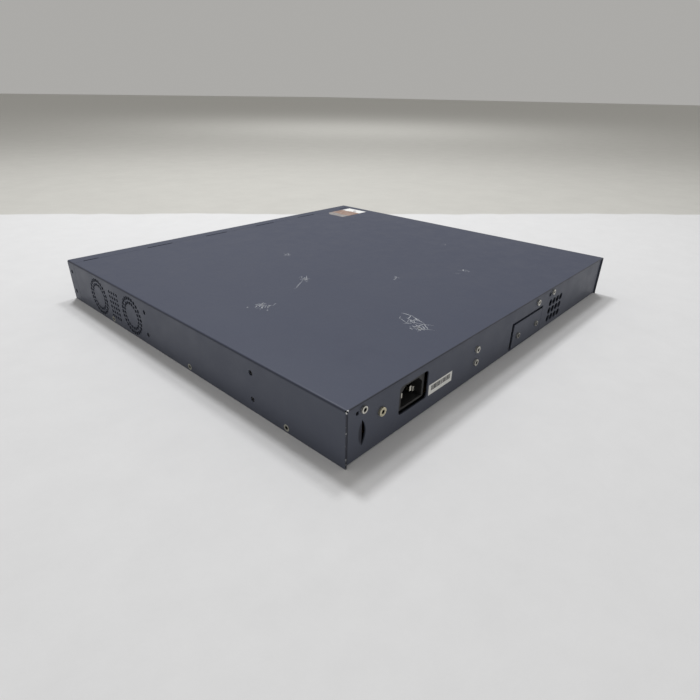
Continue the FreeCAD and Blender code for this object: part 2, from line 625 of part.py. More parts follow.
def port_windows():
    """Each window of the port plate: left, low, width and height of what shows in it."""
    blocks = [(f"left_wall + {left}", "board_top", "jack_width", "jack_height")
              for left in ("first_block", "second_block")]
    cage = ("left_wall + cage_place", "board_top", "cage_width", "cage_height")
    console = ("left_wall + console_place", "board_top", "console_width", "console_height")
    return blocks + [cage, console]


def polygon(flat, corners):
    """A closed outline through the given corners, each bound to two formulas."""
    first = flat.GeometryCount
    count = len(corners)
    for index in range(count):
        start = Vector(math.cos(2 * math.pi * index / count), math.sin(2 * math.pi * index / count), 0)
        turn = 2 * math.pi * (index + 1) / count
        flat.addGeometry(Part.LineSegment(start, Vector(math.cos(turn), math.sin(turn), 0)), False)
    for index in range(count):
        flat.addConstraint(Sketcher.Constraint("Coincident", first + index, 2, first + (index + 1) % count,
                                               1))
    for index, (across, up) in enumerate(corners):
        bind(flat, Sketcher.Constraint("DistanceX", -1, 1, first + index, 1, 1.0), across)
        bind(flat, Sketcher.Constraint("DistanceY", -1, 1, first + index, 1, 1.0), up)


# ---------------------------------------------------------------- fans

def make_fan(fan, along):
    """A fan's frame with its motor base, and the rotor that turns in it about the X axis."""
    centre = (f"front_face + {along}", "fan_middle")
    frame = new_body(f"{fan}_fan_frame")
    outline = sketch(frame, f"{fan}_fan_outline", "YZ_Plane", "fan_back", centre)
    rectangle(outline, "-fan_size / 2", "-fan_size / 2", "fan_size", "fan_size")
    pad(frame, outline, "fan_depth")
    duct = sketch(frame, f"{fan}_fan_duct", "YZ_Plane", "fan_back", centre)
    circle(duct, "0", "0", "fan_bore / 2")
    for across in (-1, 1):
        for up in (-1, 1):
            circle(duct, f"{across} * fan_hole_pitch / 2", f"{up} * fan_hole_pitch / 2", "fan_hole / 2")
    pocket(frame, duct, "fan_depth", reverse=True)
    strut = sketch(frame, f"{fan}_fan_strut", "YZ_Plane", "fan_back", centre)
    rectangle(strut, "0", "-fan_strut / 2", "fan_bore / 2 + fan_strut / 4", "fan_strut")
    polar(frame, pad(frame, strut, "fan_strut"), strut, "fan_struts")
    base = sketch(frame, f"{fan}_motor_base", "YZ_Plane", "fan_back", centre)
    circle(base, "0", "0", "fan_hub / 2")
    pad(frame, base, "fan_strut")
    tube = sketch(frame, f"{fan}_bearing_tube", "YZ_Plane", "fan_back + fan_strut", centre)
    circle(tube, "0", "0", "bearing_outer / 2")
    pad(frame, tube, "bearing_length")
    bore = sketch(frame, f"{fan}_bearing_bore", "YZ_Plane", "fan_back - 1", centre)
    circle(bore, "0", "0", "fan_shaft / 2 + shaft_clearance")
    pocket(frame, bore, "fan_depth", reverse=True)
    return [frame, make_rotor(fan, centre), make_stator(fan, centre)]


def make_stator(fan, centre):
    """The ring of coils round the bearing tube, inside the rotor's cup."""
    coil = new_body(f"{fan}_fan_stator")
    ring = sketch(coil, f"{fan}_stator_ring", "YZ_Plane", "fan_back + fan_strut", centre)
    circle(ring, "0", "0", "fan_hub / 2 - hub_wall - cup_gap")
    circle(ring, "0", "0", "bearing_outer / 2 + shaft_clearance")
    pad(coil, ring, "bearing_length - 1")
    return coil


def make_rotor(fan, centre):
    """The rotor: a cup with a shaft and a ring of slanted blades, trimmed to the duct."""
    rotor = new_body(f"{fan}_fan_rotor")
    start = "fan_back + fan_strut + cup_gap"
    hub = sketch(rotor, f"{fan}_hub", "YZ_Plane", start, centre)
    circle(hub, "0", "0", "fan_hub / 2")
    pad(rotor, hub, "hub_length")
    blade = sketch(rotor, f"{fan}_blade", "XY_Plane", "fan_middle + fan_hub / 2 - hub_wall / 2",
                   (start, f"front_face + {FANS[fan]}"))
    rise = "blade_chord * tan(fan_blade_angle)"
    polygon(blade, [("blade_edge", f"-{rise} / 2"), ("blade_edge + blade_chord", f"{rise} / 2"),
                    ("blade_edge + blade_chord", f"{rise} / 2 + blade_thickness"),
                    ("blade_edge", f"-{rise} / 2 + blade_thickness")])
    polar(rotor, pad(rotor, blade, "(fan_bore - fan_hub) / 2"), hub, "fan_blades")
    trim = sketch(rotor, f"{fan}_trim", "YZ_Plane", "fan_back - 1", centre)
    circle(trim, "0", "0", "fan_bore / 2 - fan_tip_gap")
    circle(trim, "0", "0", "fan_size")
    pocket(rotor, trim, "2 * fan_depth", reverse=True)
    cup = sketch(rotor, f"{fan}_cup", "YZ_Plane", start, centre)
    circle(cup, "0", "0", "fan_hub / 2 - hub_wall")
    pocket(rotor, cup, "hub_length - hub_wall", reverse=True)
    shaft = sketch(rotor, f"{fan}_shaft", "YZ_Plane", f"{start} + hub_length - hub_wall / 2", centre)
    circle(shaft, "0", "0", "fan_shaft / 2")
    pad(rotor, shaft, "hub_length", reverse=True)
    return rotor


def screw(name, head, shank, sign, seat, axis):
    """A pan-head screw: head and shank are (radius, length), the seat is under its head.

    sign is the way the head stands out along the axis, 1 or -1.
    """
    slot = "xyz".index(axis)
    head_at, shank_at = list(seat), list(seat)
    if sign > 0:
        shank_at[slot] = f"{seat[slot]} - ({shank[1]})"
    else:
        head_at[slot] = f"{seat[slot]} - {head[1]}"
    return fuse(name, [rod(name + "_head", head[0], head[1], head_at, axis),
                       rod(name + "_shank", shank[0], shank[1], shank_at, axis)])


def make_fan_screws():
    """Four screws through each fan into the pan's wall."""
    screws = []
    for fan, along in FANS.items():
        for index, (across, up) in enumerate(fan_corners(along)):
            screws.append(screw(f"{fan}_fan_screw_{index}", ("small_head / 2", "head_height"),
                                ("screw_shank / 2", "fan_depth + pan_sheet"), -1,
                                ("fan_back", across, up), "x"))
    return group("fan_screws", screws)


# ---------------------------------------------------------------- screws and nuts of the case

def make_side_screws():
    """Flush screws that hold the cover's walls to the pan."""
    screws = []
    for side, sign in SIDES.items():
        for along in SIDE_SCREWS:
            start = "side_face - cover_sheet - side_shank" if sign > 0 else "-(side_face) + cover_sheet"
            shank = rod(f"{side}_{along}_shank", "screw_shank / 2", "side_shank",
                        (start, f"front_face + {along}", "side_screw_height"), "x")
            blank = fuse(f"{side}_{along}_blank", [shank, countersink(side, along, "0 * screw_shank")])
            face = ("side_face" if sign > 0 else "-(side_face)", f"front_face + {along}", "side_screw_height")
            screws.append(cut(f"{side}_{along}", blank, cross_recess(f"{side}_{along}", sign, face, "x")))
    return group("side_screws", screws)


def make_rack_nuts():
    """Clinch nuts behind the rack-ear holes, their spigots in the pan's walls."""
    nuts = []
    for side, sign in SIDES.items():
        for along in ("ear_front",) + COVER_EARS:
            for index, row in enumerate(EAR_ROWS):
                name = f"{side}_{along}_{index}"
                y = f"front_face + {along}"
                inner = "pan_inside - nut_length" if sign > 0 else "-(pan_inside)"
                outer = "pan_inside" if sign > 0 else "-(pan_side)"
                whole = "pan_inside - nut_length - 1" if sign > 0 else "-(pan_side) - 1"
                barrel = rod(name + "_barrel", "nut_outer / 2", "nut_length", (inner, y, row), "x")
                spigot = rod(name + "_spigot", "nut_outer / 2 - 1", "pan_sheet", (outer, y, row), "x")
                bore = rod(name + "_bore", "nut_bore / 2", "nut_length + pan_sheet + 2", (whole, y, row), "x")
                nuts.append(cut(name, fuse(name + "_body", [barrel, spigot]), [bore]))
    return group("rack_nuts", nuts)


def make_rear_screws():
    """The screws of the rear wall, with a cross recess in each head; the ground screw is its own node."""
    screws = {}
    for name, (along, up, head) in REAR_SCREWS.items():
        seat = (f"side_face - {along}", "panel_face", up)
        plain = screw(f"{name}_screw_blank", (f"{head} / 2", "head_height"),
                      ("screw_shank / 2", "rear_shank"), 1, seat, "y")
        recess = cross_recess(name, 1, (seat[0], "panel_face + head_height", up), "y")
        screws[name] = cut(f"{name}_screw", plain, recess)
    ground = screws.pop("ground")
    return [group("rear_screws", list(screws.values())), group("ground_screw", [ground])]


def cross_recess(name, sign, face, axis):
    """Two crossed slots and a round eye, cut into a screw's head from the middle of its face.

    sign is the way the head faces along the axis, 1 or -1.
    """
    slot = "xyz".index(axis)
    start = list(face)
    if sign > 0:
        start[slot] = f"{face[slot]} - recess_depth"
    tools = [rod(name + "_eye", "recess_eye", "recess_depth", start, axis)]
    for index, side in enumerate(axes for axes in range(3) if axes != slot):
        size, corner = ["recess_width"] * 3, list(start)
        size[side], size[slot] = "recess_length", "recess_depth"
        for each in (other for other in range(3) if other != slot):
            corner[each] = f"{start[each]} - {size[each]} / 2"
        tools.append(box(f"{name}_slot_{index}", size, corner))
    return tools


# ---------------------------------------------------------------- mains inlet

PINS = {
    "live": ("-pin_pitch", "-pin_offset", "pin_recess"),
    "neutral": ("pin_pitch", "-pin_offset", "pin_recess"),
    "earth": ("0 * pin_pitch", "pin_offset", "earth_pin_recess"),
}


def make_inlet():
    """The mains inlet: a housing with a six-cornered cavity, and three flat pins through its back."""
    body = new_body("inlet_shell")
    centre = ("side_face - inlet_place", "inlet_middle")
    outline = sketch(body, "inlet_outline", "XZ_Plane", "-(inlet_mouth)", centre)
    rectangle(outline, "-inlet_width / 2", "-inlet_height / 2", "inlet_width", "inlet_height")
    pad(body, outline, "inlet_length")
    fillet(body, lambda e, b: runs_along(e, "y") and e.CenterOfMass.z > b.ZMin - 1, "inlet_corner")
    cavity = sketch(body, "inlet_cavity", "XZ_Plane", "-(inlet_mouth)", centre)
    half, rise, bevel = "inlet_cavity_width / 2", "inlet_cavity_height / 2", "inlet_cavity_chamfer"
    polygon(cavity, [(f"-{half}", f"-{rise}"), (half, f"-{rise}"), (half, f"{rise} - {bevel}"),
                     (f"{half} - {bevel}", rise), (f"-{half} + {bevel}", rise),
                     (f"-{half}", f"{rise} - {bevel}")])
    pocket(body, cavity, "inlet_cavity_depth", reverse=True)
    slots = [pin_block(name, "pin_room", "_slot") for name in PINS]
    pins = [pin_block(name, "0 * pin_room", "_pin") for name in PINS]
    return [cut("inlet_housing", body, slots), group("inlet_pins", pins)]


def pin_block(name, room, ending):
    """One flat pin of the inlet, or with some room to spare the slot that it passes through."""
    across, up, recess = PINS[name]
    return box(name + ending, (f"pin_thickness + 2 * {room}", f"inlet_length - {recess} + pin_tail",
                               f"pin_width + 2 * {room}"),
               (f"side_face - inlet_place + {across} - pin_thickness / 2 - {room}",
                "inlet_mouth - inlet_length - pin_tail",
                f"inlet_middle + {up} - pin_width / 2 - {room}"))


# ---------------------------------------------------------------- expansion slot

def make_slot():
    """The slot's cover plate, the frame that it screws to, and its screws."""
    plate = box("plate_face", ("plate_right - plate_left", "pan_sheet", "plate_high - plate_low"),
                ("side_face - plate_right", "panel_back", "plate_low"))
    flange = box("plate_flange_strip", ("plate_right - plate_left - 2 * slot_margin", "plate_flange",
                                        "pan_sheet"),
                 ("side_face - plate_right + slot_margin", "panel_back - plate_flange",
                  "plate_high - pan_sheet"))
    lip = box("plate_flange_root", ("plate_right - plate_left - 2 * slot_margin", "pan_sheet", "pan_sheet"),
              ("side_face - plate_right + slot_margin", "panel_back", "plate_high - pan_sheet"))
    places = [f"side_face - {along}" for along in ("plate_screw_first", "plate_screw_second")]
    holes = [rod(f"plate_hole_{index}", "screw_shank / 2 + screw_clearance", "3 * pan_sheet",
                 (x, "panel_back - pan_sheet", "plate_screw_height"), "y") for index, x in enumerate(places)]
    cover = cut("slot_cover", fuse("slot_plate", [plate, flange, lip]), holes)
    screws = [cut(f"plate_screw_{index}",
                  screw(f"plate_screw_blank_{index}", ("small_head / 2", "head_height"),
                        ("screw_shank / 2", "rear_shank"), 1, (x, "panel_face", "plate_screw_height"), "y"),
                  cross_recess(f"plate_screw_{index}", 1, (x, "panel_face + head_height",
                                                           "plate_screw_height"),
                               "y"))
              for index, x in enumerate(places)]
    return [cover, group("slot_cover_screws", screws), make_slot_frame(places)]


def make_slot_frame(places):
    """The frame on the floor behind the slot: a base, two side rails and two tabs with screw holes."""
    left, wide = "side_face - slot_right - slot_margin", "slot_right - slot_left + 2 * slot_margin"
    front = "rear_end - slot_length + slot_margin"
    deep = f"panel_back - ({front})"
    pieces = [box("slot_base", (wide, f"{deep} - sheet_gap", "pan_sheet"), (left, front, "pan_sheet"))]
    for index, shift in enumerate(("0 * slot_margin", f"{wide} - pan_sheet")):
        pieces.append(box(f"slot_rail_{index}", ("pan_sheet", f"{deep} - sheet_gap", "slot_rail_height"),
                          (f"{left} + {shift}", front, "pan_sheet")))
    holes = []
    for index, x in enumerate(places):
        pieces.append(box(f"slot_tab_{index}", ("slot_tab", "pan_sheet", "plate_screw_height + slot_tab / 2"),
                          (f"{x} - slot_tab / 2", "panel_back - pan_sheet", "pan_sheet")))
        holes.append(rod(f"slot_tab_hole_{index}", "screw_shank / 2 + shaft_clearance", "3 * pan_sheet",
                         (x, "panel_back - 2 * pan_sheet", "plate_screw_height"), "y"))
    return cut("slot_frame", fuse("slot_frame_blank", pieces), holes)


# ---------------------------------------------------------------- ports

BLOCKS = {"first": "first_block", "second": "second_block"}
ROWS = {"lower": "board_top + jack_sill", "upper": "board_top + jack_sill + jack_row_pitch"}


def jack_pocket(body, name, left, low, latch_up):
    """The mouth of one modular jack, with the latch's notch above or below it."""
    mouth = sketch(body, name, "XZ_Plane", "-(jack_mouth) + 1", (left, low))
    rectangle(mouth, "0", "0", "plug_width", "plug_height")
    notch = sketch(body, name + "_notch", "XZ_Plane", "-(jack_mouth) + 1", (left, low))
    notch_low = "plug_height - 1" if latch_up else "-latch_height"
    rectangle(notch, "(plug_width - latch_width) / 2", notch_low, "latch_width", "latch_height + 1")
    return [(pocket(body, mouth, "plug_depth + 1"), mouth), (pocket(body, notch, "plug_depth - 2"), notch)]


def make_jack_block(block, place_across):
    """A block of twelve jacks in two rows, latches facing outwards."""
    body = new_body(f"jack_block_{block}")
    left = f"left_wall + {place_across}"
    outline = sketch(body, f"{block}_block_outline", "XZ_Plane", "-(jack_mouth)")
    rectangle(outline, left, "board_top", "jack_width", "jack_height")
    pad(body, outline, "jack_length", reverse=True)
    for row, low in ROWS.items():
        first = f"{left} + jack_wall + (jack_pitch - plug_width) / 2"
        for feature, flat in jack_pocket(body, f"{block}_{row}_jack", first, low, row == "upper"):
            repeat_across(body, feature, flat, "jack_columns", "jack_pitch")
    return body


def make_jack_contacts():
    """The contact carrier at the back of each jack, on the side away from the latch."""
    carriers = []
    for block, place_across in BLOCKS.items():
        for row, low in ROWS.items():
            high = "plug_height - contact_height" if row == "lower" else "0 * plug_height"
            for column in range(int(value("jack_columns"))):
                middle = f"left_wall + {place_across} + jack_wall + ({column} + 0.5) * jack_pitch"
                carriers.append(box(f"{block}_{row}_contacts_{column}",
                                    ("contact_width", "contact_length", "contact_height"),
                                    (f"{middle} - contact_width / 2",
                                     "jack_mouth + plug_depth - contact_length",
                                     f"{low} + {high}")))
    return group("jack_contacts", carriers)


def make_cage():
    """The cage of the transceiver slots, and a connector at the back of each cell."""
    body = new_body("transceiver_cage")
    left = "left_wall + cage_place"
    outline = sketch(body, "cage_outline", "XZ_Plane", "-(jack_mouth)")
    rectangle(outline, left, "board_top", "cage_width", "cage_height")
    pad(body, outline, "cage_length", reverse=True)
    cell = sketch(body, "cage_cell", "XZ_Plane", "-(jack_mouth) + 1",
                  (f"{left} + cage_wall", "board_top + cage_floor"))
    rectangle(cell, "0", "0", "cage_pitch - cage_wall", "cage_height - 2 * cage_floor")
    repeat_across(body, pocket(body, cell, "cage_length - cage_floor + 1"), cell, "cage_count", "cage_pitch")
    connectors = []
    for index in range(int(value("cage_count"))):
        middle = f"{left} + cage_wall / 2 + ({index} + 0.5) * cage_pitch"
        connectors.append(box(f"cage_connector_{index}", ("cage_connector", "cage_connector",
                                                          "cage_height / 2"),
                              (f"{middle} - cage_connector / 2",
                               "jack_mouth + cage_length - cage_floor - cage_connector",
                               "board_top + cage_floor")))
    return [body, group("cage_connectors", connectors)]


def make_console_jack():
    """The single console jack beside the button."""
    body = new_body("console_jack")
    left = "left_wall + console_place"
    outline = sketch(body, "console_outline", "XZ_Plane", "-(jack_mouth)")
    rectangle(outline, left, "board_top", "console_width", "console_height")
    pad(body, outline, "console_length", reverse=True)
    jack_pocket(body, "console_mouth", f"{left} + (console_width - plug_width) / 2",
                "board_top + console_sill",
                False)
    return body


def make_button():
    """The mode button with its flange, the plunger that it pushes, and the switch on the board."""
    x, z = "left_wall + button_place", "button_height"
    front = "front_face - button_stand"
    back = "front_face - button_stand + button_length"
    cap = box("button_cap", ("button_size", "button_length", "button_size"),
              (f"{x} - button_size / 2", front, f"{z} - button_size / 2"))
    rim = box("button_rim", ("button_size + 2 * button_flange", "button_flange",
                             "button_size + 2 * button_flange"),
              (f"{x} - button_size / 2 - button_flange", "plate_back + button_gap / 2",
               f"{z} - button_size / 2 - button_flange"))
    stem = box("button_stem", ("plunger", "plunger_length", "plunger"),
               (f"{x} - plunger / 2", back, f"{z} - plunger / 2"))
    shell = box("switch_shell", ("switch_width", "switch_length", "switch_height"),
                (f"{x} - switch_width / 2", f"{back} + switch_gap", "board_top"))
    well = box("switch_well", ("plunger + 2 * button_gap", "plunger_length", "plunger + 2 * button_gap"),
               (f"{x} - plunger / 2 - button_gap", f"{back} + switch_gap - 0.5",
                f"{z} - plunger / 2 - button_gap"))
    return [group("mode_button", [fuse("button_with_rim", [cap, rim])]), group("switch_plunger", [stem]),
            cut("button_switch", shell, [well])]


def make_lamps():
    """The light pipes of the status lamps and the lamp stack that they start from."""
    x = "left_wall + lamp_place"
    pipes = [rod(f"light_pipe_{index}", "lamp_size / 2", "lamp_length",
                 (x, "front_face - lamp_stand", f"lamp_first + {index} * lamp_pitch"), "y")
             for index in range(int(value("lamp_count")))]
    stack = box("lamp_stack_block", ("stack_width", "stack_length", "stack_height"),
                (f"{x} - stack_width / 2", "front_face - lamp_stand + lamp_length", "board_top"))
    return [group("light_pipes", pipes), group("lamp_stack", [stack])]


# ---------------------------------------------------------------- main board

BOARD_POSTS = [
    ("left_wall + post_inset", "front_face + 3 * post_pitch"),
    ("left_wall + post_inset", "front_face + 12 * post_pitch"),
    ("left_wall + post_inset", "rear_end - 2 * post_pitch"),
    ("left_wall + 7 * post_pitch", "front_face + 6 * post_pitch"),
    ("left_wall + 7 * post_pitch", "front_face + 12 * post_pitch"),
    ("left_wall + 7 * post_pitch", "rear_end - 2 * post_pitch"),
    ("left_wall + 13 * post_pitch", "front_face + 5 * post_pitch"),
    ("left_wall + 13 * post_pitch", "front_face + 12 * post_pitch"),
    ("board_right_front - post_inset", "front_face + 2 * post_pitch"),
    ("board_right_front - post_inset", "board_wide_end - post_inset"),
    ("board_right - post_inset", "rear_end - 2 * post_pitch"),
]
SUPPLY_POSTS = [(x, y) for x in ("supply_left + post_inset", "supply_right - post_inset")
                for y in ("supply_edge + post_inset", "supply_rear - post_inset")]

def make_board():
    """The main board: wide at the front, narrow beside the supply, cut away for the expansion slot."""
    body = new_body("main_board")
    flat = sketch(body, "board_outline", "XY_Plane", "board_under")
    bay_left = "side_face - slot_right - 2 * slot_margin"
    bay_right = "side_face - slot_left + 2 * slot_margin"
    polygon(flat, [("board_left", "board_edge"), ("board_right_front", "board_edge"),
                   ("board_right_front", "board_wide_end"), ("board_right", "board_wide_end"),
                   ("board_right", "board_rear"), (bay_right, "board_rear"), (bay_right, "slot_front + 1"),
                   (bay_left, "slot_front + 1"), (bay_left, "board_rear"), ("board_left", "board_rear")])
    pad(body, flat, "board")
    board_holes(body, "main", BOARD_POSTS, "board_under")
    return body


def board_holes(body, name, posts, low):
    flat = sketch(body, f"{name}_board_holes", "XY_Plane", f"{low} - 1")
    for x, y in posts:
        circle(flat, x, y, "board_hole / 2")
    pocket(body, flat, "board + 2", reverse=True)


def make_posts(name, posts, high):
    """Standoffs from the floor to the underside of a board, and the screws that hold the board to them."""
    standoffs, screws = [], []
    for index, (x, y) in enumerate(posts):
        post = rod(f"{name}_post_{index}", "standoff_size / 2", f"{high} - pan_sheet", (x, y, "pan_sheet"))
        bore = rod(f"{name}_post_bore_{index}", "standoff_bore / 2", "standoff",
                   (x, y, f"{high} - standoff + 1"))
        standoffs.append(cut(f"{name}_standoff_{index}", post, [bore]))
        screws.append(screw(f"{name}_screw_{index}", ("small_head / 2", "head_height"),
                            ("standoff_bore / 2 - shaft_clearance", "board + board_screw_bite"), 1,
                            (x, y, f"{high} + board"), "z"))
    return [group(f"{name}_standoffs", standoffs), group(f"{name}_screws", screws)]


def make_board_row(name):
    """A row of equal blocks on the main board."""
    blocks = [box(f"{name}_{index}", (f"{name}_across", f"{name}_along", f"{name}_height"),
                  (f"left_wall + {name}_left + {index} * {name}_pitch", f"front_face + {name}_front",
                   "board_top"))
              for index in range(int(value(f"{name}_count")))]
    return group(name, blocks)


def make_sink(name, chip, overhang, tall):
    """A finned heat sink centred on a chip, its fins running front to back."""
    left = f"left_wall + {chip}_left - {overhang}"
    front = f"front_face + {chip}_front - {overhang}"
    wide, deep = f"{chip}_across + 2 * {overhang}", f"{chip}_along + 2 * {overhang}"
    span = value(f"{chip}_across") + 2 * value(overhang)
    fins = int((span - value("fin_thickness")) / value("fin_pitch")) + 1
    pieces = [box(f"{name}_base", (wide, deep, "sink_base"), (left, front, "sink_foot"))]
    for index in range(fins):
        shift = f"({wide} - fin_thickness) * {index} / {fins - 1}"
        pieces.append(box(f"{name}_fin_{index}", ("fin_thickness", deep, tall),
                          (f"{left} + {shift}", front, "sink_foot")))
    return fuse(name, pieces)


def make_capacitors():
    """A row of small capacitor cans on the main board."""
    return group("board_capacitors", [
        rod(f"board_can_{index}", "can_size / 2", "can_height",
            (f"left_wall + can_left + {index} * can_pitch", "front_face + can_front", "board_top"))
        for index in range(int(value("can_count")))])


def make_expansion_connector():
    """The connector on the board that a module in the slot would plug into."""
    return box("expansion_connector", ("slot_right - slot_left", "connector_depth", "connector_height"),
               ("side_face - slot_right", "slot_front - connector_depth", "board_top"))


# ---------------------------------------------------------------- mains supply

def make_supply_board():
    body = new_body("supply_board")
    flat = sketch(body, "supply_outline", "XY_Plane", "supply_under")
    rectangle(flat, "supply_left", "supply_edge", "supply_right - (supply_left)",
              "supply_rear - (supply_edge)")
    pad(body, flat, "board")
    board_holes(body, "supply", SUPPLY_POSTS, "supply_under")
    return body


def on_supply(name, size, across, along):
    """A block on the supply board, placed from the board's front left corner."""
    return box(name, size, (f"supply_left + {across}", f"supply_edge + {along}", "supply_top"))


def make_supply_parts():
    """The transformer, the capacitors, the choke and the heat sinks of the mains supply."""
    core = on_supply("transformer_core", ("core_size", "core_size", "core_height"), "core_across",
                     "core_along")
    coil = on_supply("transformer_coil", ("core_size - 8", "core_size + 8", "core_height - 6"),
                     "core_across + 4", "core_along - 4")
    cans = [rod(f"supply_can_{index}", "bulk_size / 2", "bulk_height",
                (f"supply_left + bulk_across", f"supply_edge + bulk_along + {index} * (bulk_size + 2)",
                 "supply_top")) for index in range(2)]
    ring = rod("choke_ring", "choke_size / 2", "choke_height",
               ("supply_left + choke_across", "supply_rear - choke_inset", "supply_top"))
    eye = rod("choke_eye", "choke_size / 5", "choke_height + 2",
              ("supply_left + choke_across", "supply_rear - choke_inset", "supply_top - 1"))
    filters = box("filter_can", ("filter_width", "filter_depth", "filter_height"),
                  ("supply_left + filter_across", "supply_rear - choke_inset", "supply_top"))
    plates = [on_supply(f"supply_sink_{index}", ("cooler_thickness", "cooler_length", "cooler_height"),
                        f"cooler_across + {index} * cooler_pitch", "cooler_along") for index in range(2)]
    return [fuse("supply_transformer", [core, coil]), group("supply_capacitors", cans),
            cut("supply_choke", ring, [eye]), group("line_filter", [filters]),
            group("supply_heat_sinks", plates)]


def make_partition():
    """The sheet wall between the supply and the main board, screwed to the rear wall by its flange."""
    x, front = "partition", "supply_edge + partition_start"
    wall = box("partition_wall", ("partition_sheet", f"panel_back - ({front})", "partition_height"),
               (x, front, "pan_sheet"))
    left = "partition + partition_sheet - partition_flange"
    flange = box("partition_flange_strip", ("partition_flange", "partition_sheet", "partition_height"),
                 (left, "panel_back - partition_sheet", "pan_sheet"))
    holes = [rod(f"partition_hole_{up}", "screw_shank / 2 + screw_clearance", "3 * partition_sheet",
                 ("side_face - bracket_screw_place", "panel_back - 2 * partition_sheet", up), "y")
             for up in ("bracket_screw_low", "bracket_screw_high")]
    return cut("supply_partition", fuse("partition_sheet_metal", [wall, flange]), holes)


def make_harness():
    """The direct-current leads from the supply to the main board, and their two connectors."""
    y = "supply_edge + harness_along"
    main_plug = box("board_power_plug", ("plug_block", "plug_block_length", "plug_block"),
                    ("board_right - plug_block - 2", y, "board_top"))
    supply_plug = box("supply_power_plug", ("plug_block", "plug_block_length", "plug_block"),
                      ("supply_left + 2", y, "supply_top"))
    wires = [rod(f"power_lead_{index}", "wire_size / 2", "supply_left - (board_right) + 4",
                 ("board_right - 2", f"{y} + ({index} + 0.5) * plug_block_length / 5",
                  "(board_top + plug_block + supply_top) / 2"), "x") for index in range(5)]
    return [group("power_connectors", [main_plug, supply_plug]), group("power_leads", wires)]


def make_fan_leads():
    """A small connector on the board beside each fan, and the two leads of the fan."""
    plugs, wires = [], []
    for fan, along in FANS.items():
        y = f"front_face + {along} + fan_lead_shift"
        plugs.append(box(f"{fan}_fan_plug", ("fan_plug", "fan_plug", "fan_plug"),
                         ("board_right_front - fan_plug - 1", f"{y} - fan_plug / 2", "board_top")))
        for index, shift in enumerate(("-wire_size", "wire_size")):
            wires.append(rod(f"{fan}_fan_lead_{index}", "fan_wire / 2", "fan_room + 1",
                             ("board_right_front - 1", f"{y} + {shift} * 0.6", "board_top + fan_plug / 2"),
                             "x"))
    return [group("fan_plugs", plugs), group("fan_leads", wires)]


# ---------------------------------------------------------------- labels

def make_rear_label():
    return box("rear_label", ("label_width", "label_thickness", "label_height"),
               ("side_face - label_place - label_width", "panel_face", "label_low"))


def make_top_sticker():
    """The sticker on the cover, one corner torn away."""
    body = new_body("top_sticker")
    flat = sketch(body, "sticker_outline", "XY_Plane", "height",
                  ("-(side_face) + sticker_left", "front_face + sticker_front"))
    polygon(flat, [("0 * width", "0 * width"), ("sticker_length - sticker_tear", "0 * width"),
                   ("sticker_length", "sticker_tear"), ("sticker_length", "sticker_width"),
                   ("0 * width", "sticker_width")])
    pad(body, flat, "sticker_thickness")
    return body


# ---------------------------------------------------------------- assembly

def build():
    """Every node of the switch, in the order of the piece list, with its name as its label."""
    cover, pan, front = make_cover(), make_pan(), make_front_frame()
    made = {"top_cover": cover, "base_pan": pan, "front_frame": front}
    for fan, along in FANS.items():
        frame, rotor, stator = make_fan(fan, along)
        made.update({f"fan_frame_{fan}": frame, f"fan_rotor_{fan}": rotor, f"fan_stator_{fan}": stator})
    made["fan_screws"] = make_fan_screws()
    made["fan_plugs"], made["fan_leads"] = make_fan_leads()
    made["side_screws"] = make_side_screws()
    made["rack_nuts"] = make_rack_nuts()
    made["rear_screws"], made["ground_screw"] = make_rear_screws()
    made["inlet_housing"], made["inlet_pins"] = make_inlet()
    made["slot_cover"], made["slot_cover_screws"], made["slot_frame"] = make_slot()
    for block, place_across in BLOCKS.items():
        made[f"jack_block_{block}"] = make_jack_block(block, place_across)
    made["jack_contacts"] = make_jack_contacts()
    made["transceiver_cage"], made["cage_connectors"] = make_cage()
    made["console_jack"] = make_console_jack()
    made["mode_button"], made["switch_plunger"], made["button_switch"] = make_button()
    made["light_pipes"], made["lamp_stack"] = make_lamps()
    made["main_board"] = make_board()
    made["board_standoffs"], made["board_screws"] = make_posts("board", BOARD_POSTS, "board_under")
    for row_name in BOARD_ROWS:
        made[row_name] = make_board_row(row_name)
    made["switch_heat_sink"] = make_sink("switch_sink", "switch_chip", "sink_overhang", "sink_height")
    made["processor_heat_sink"] = make_sink("processor_sink", "processor_chip", "small_sink_overhang",
                                            "small_sink_height")
    made["board_capacitors"] = make_capacitors()
    made["expansion_connector"] = make_expansion_connector()
    made["supply_board"] = make_supply_board()
    made["supply_standoffs"], made["supply_screws"] = make_posts("supply", SUPPLY_POSTS, "supply_under")
    (made["supply_transformer"], made["supply_capacitors"], made["supply_choke"], made["line_filter"],
     made["supply_heat_sinks"]) = make_supply_parts()
    made["supply_partition"] = make_partition()
    made["power_connectors"], made["power_leads"] = make_harness()
    made["rear_label"] = make_rear_label()
    made["top_sticker"] = make_top_sticker()
    return made


def check(made):
    """Stop if any object of the document is in error or any node's shape is empty or broken."""
    broken = [thing.Name for thing in doc.Objects if {"Invalid", "Error"} & set(thing.State)]
    if broken:
        raise RuntimeError("objects in error: " + ", ".join(broken))
    for node, thing in made.items():
        if thing.Shape.isNull() or not thing.Shape.isValid() or thing.Shape.Volume <= 0:
            raise RuntimeError(f"{node} has no valid shape")


nodes = build()
for node, thing in nodes.items():
    thing.Label = node
doc.recompute()
check(nodes)
os.makedirs("parts", exist_ok=True)
for node, thing in nodes.items():
    thing.Shape.exportStep(f"parts/{node}.step")
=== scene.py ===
"""Finishes and small pieces for a one-unit rackmount network switch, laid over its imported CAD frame."""

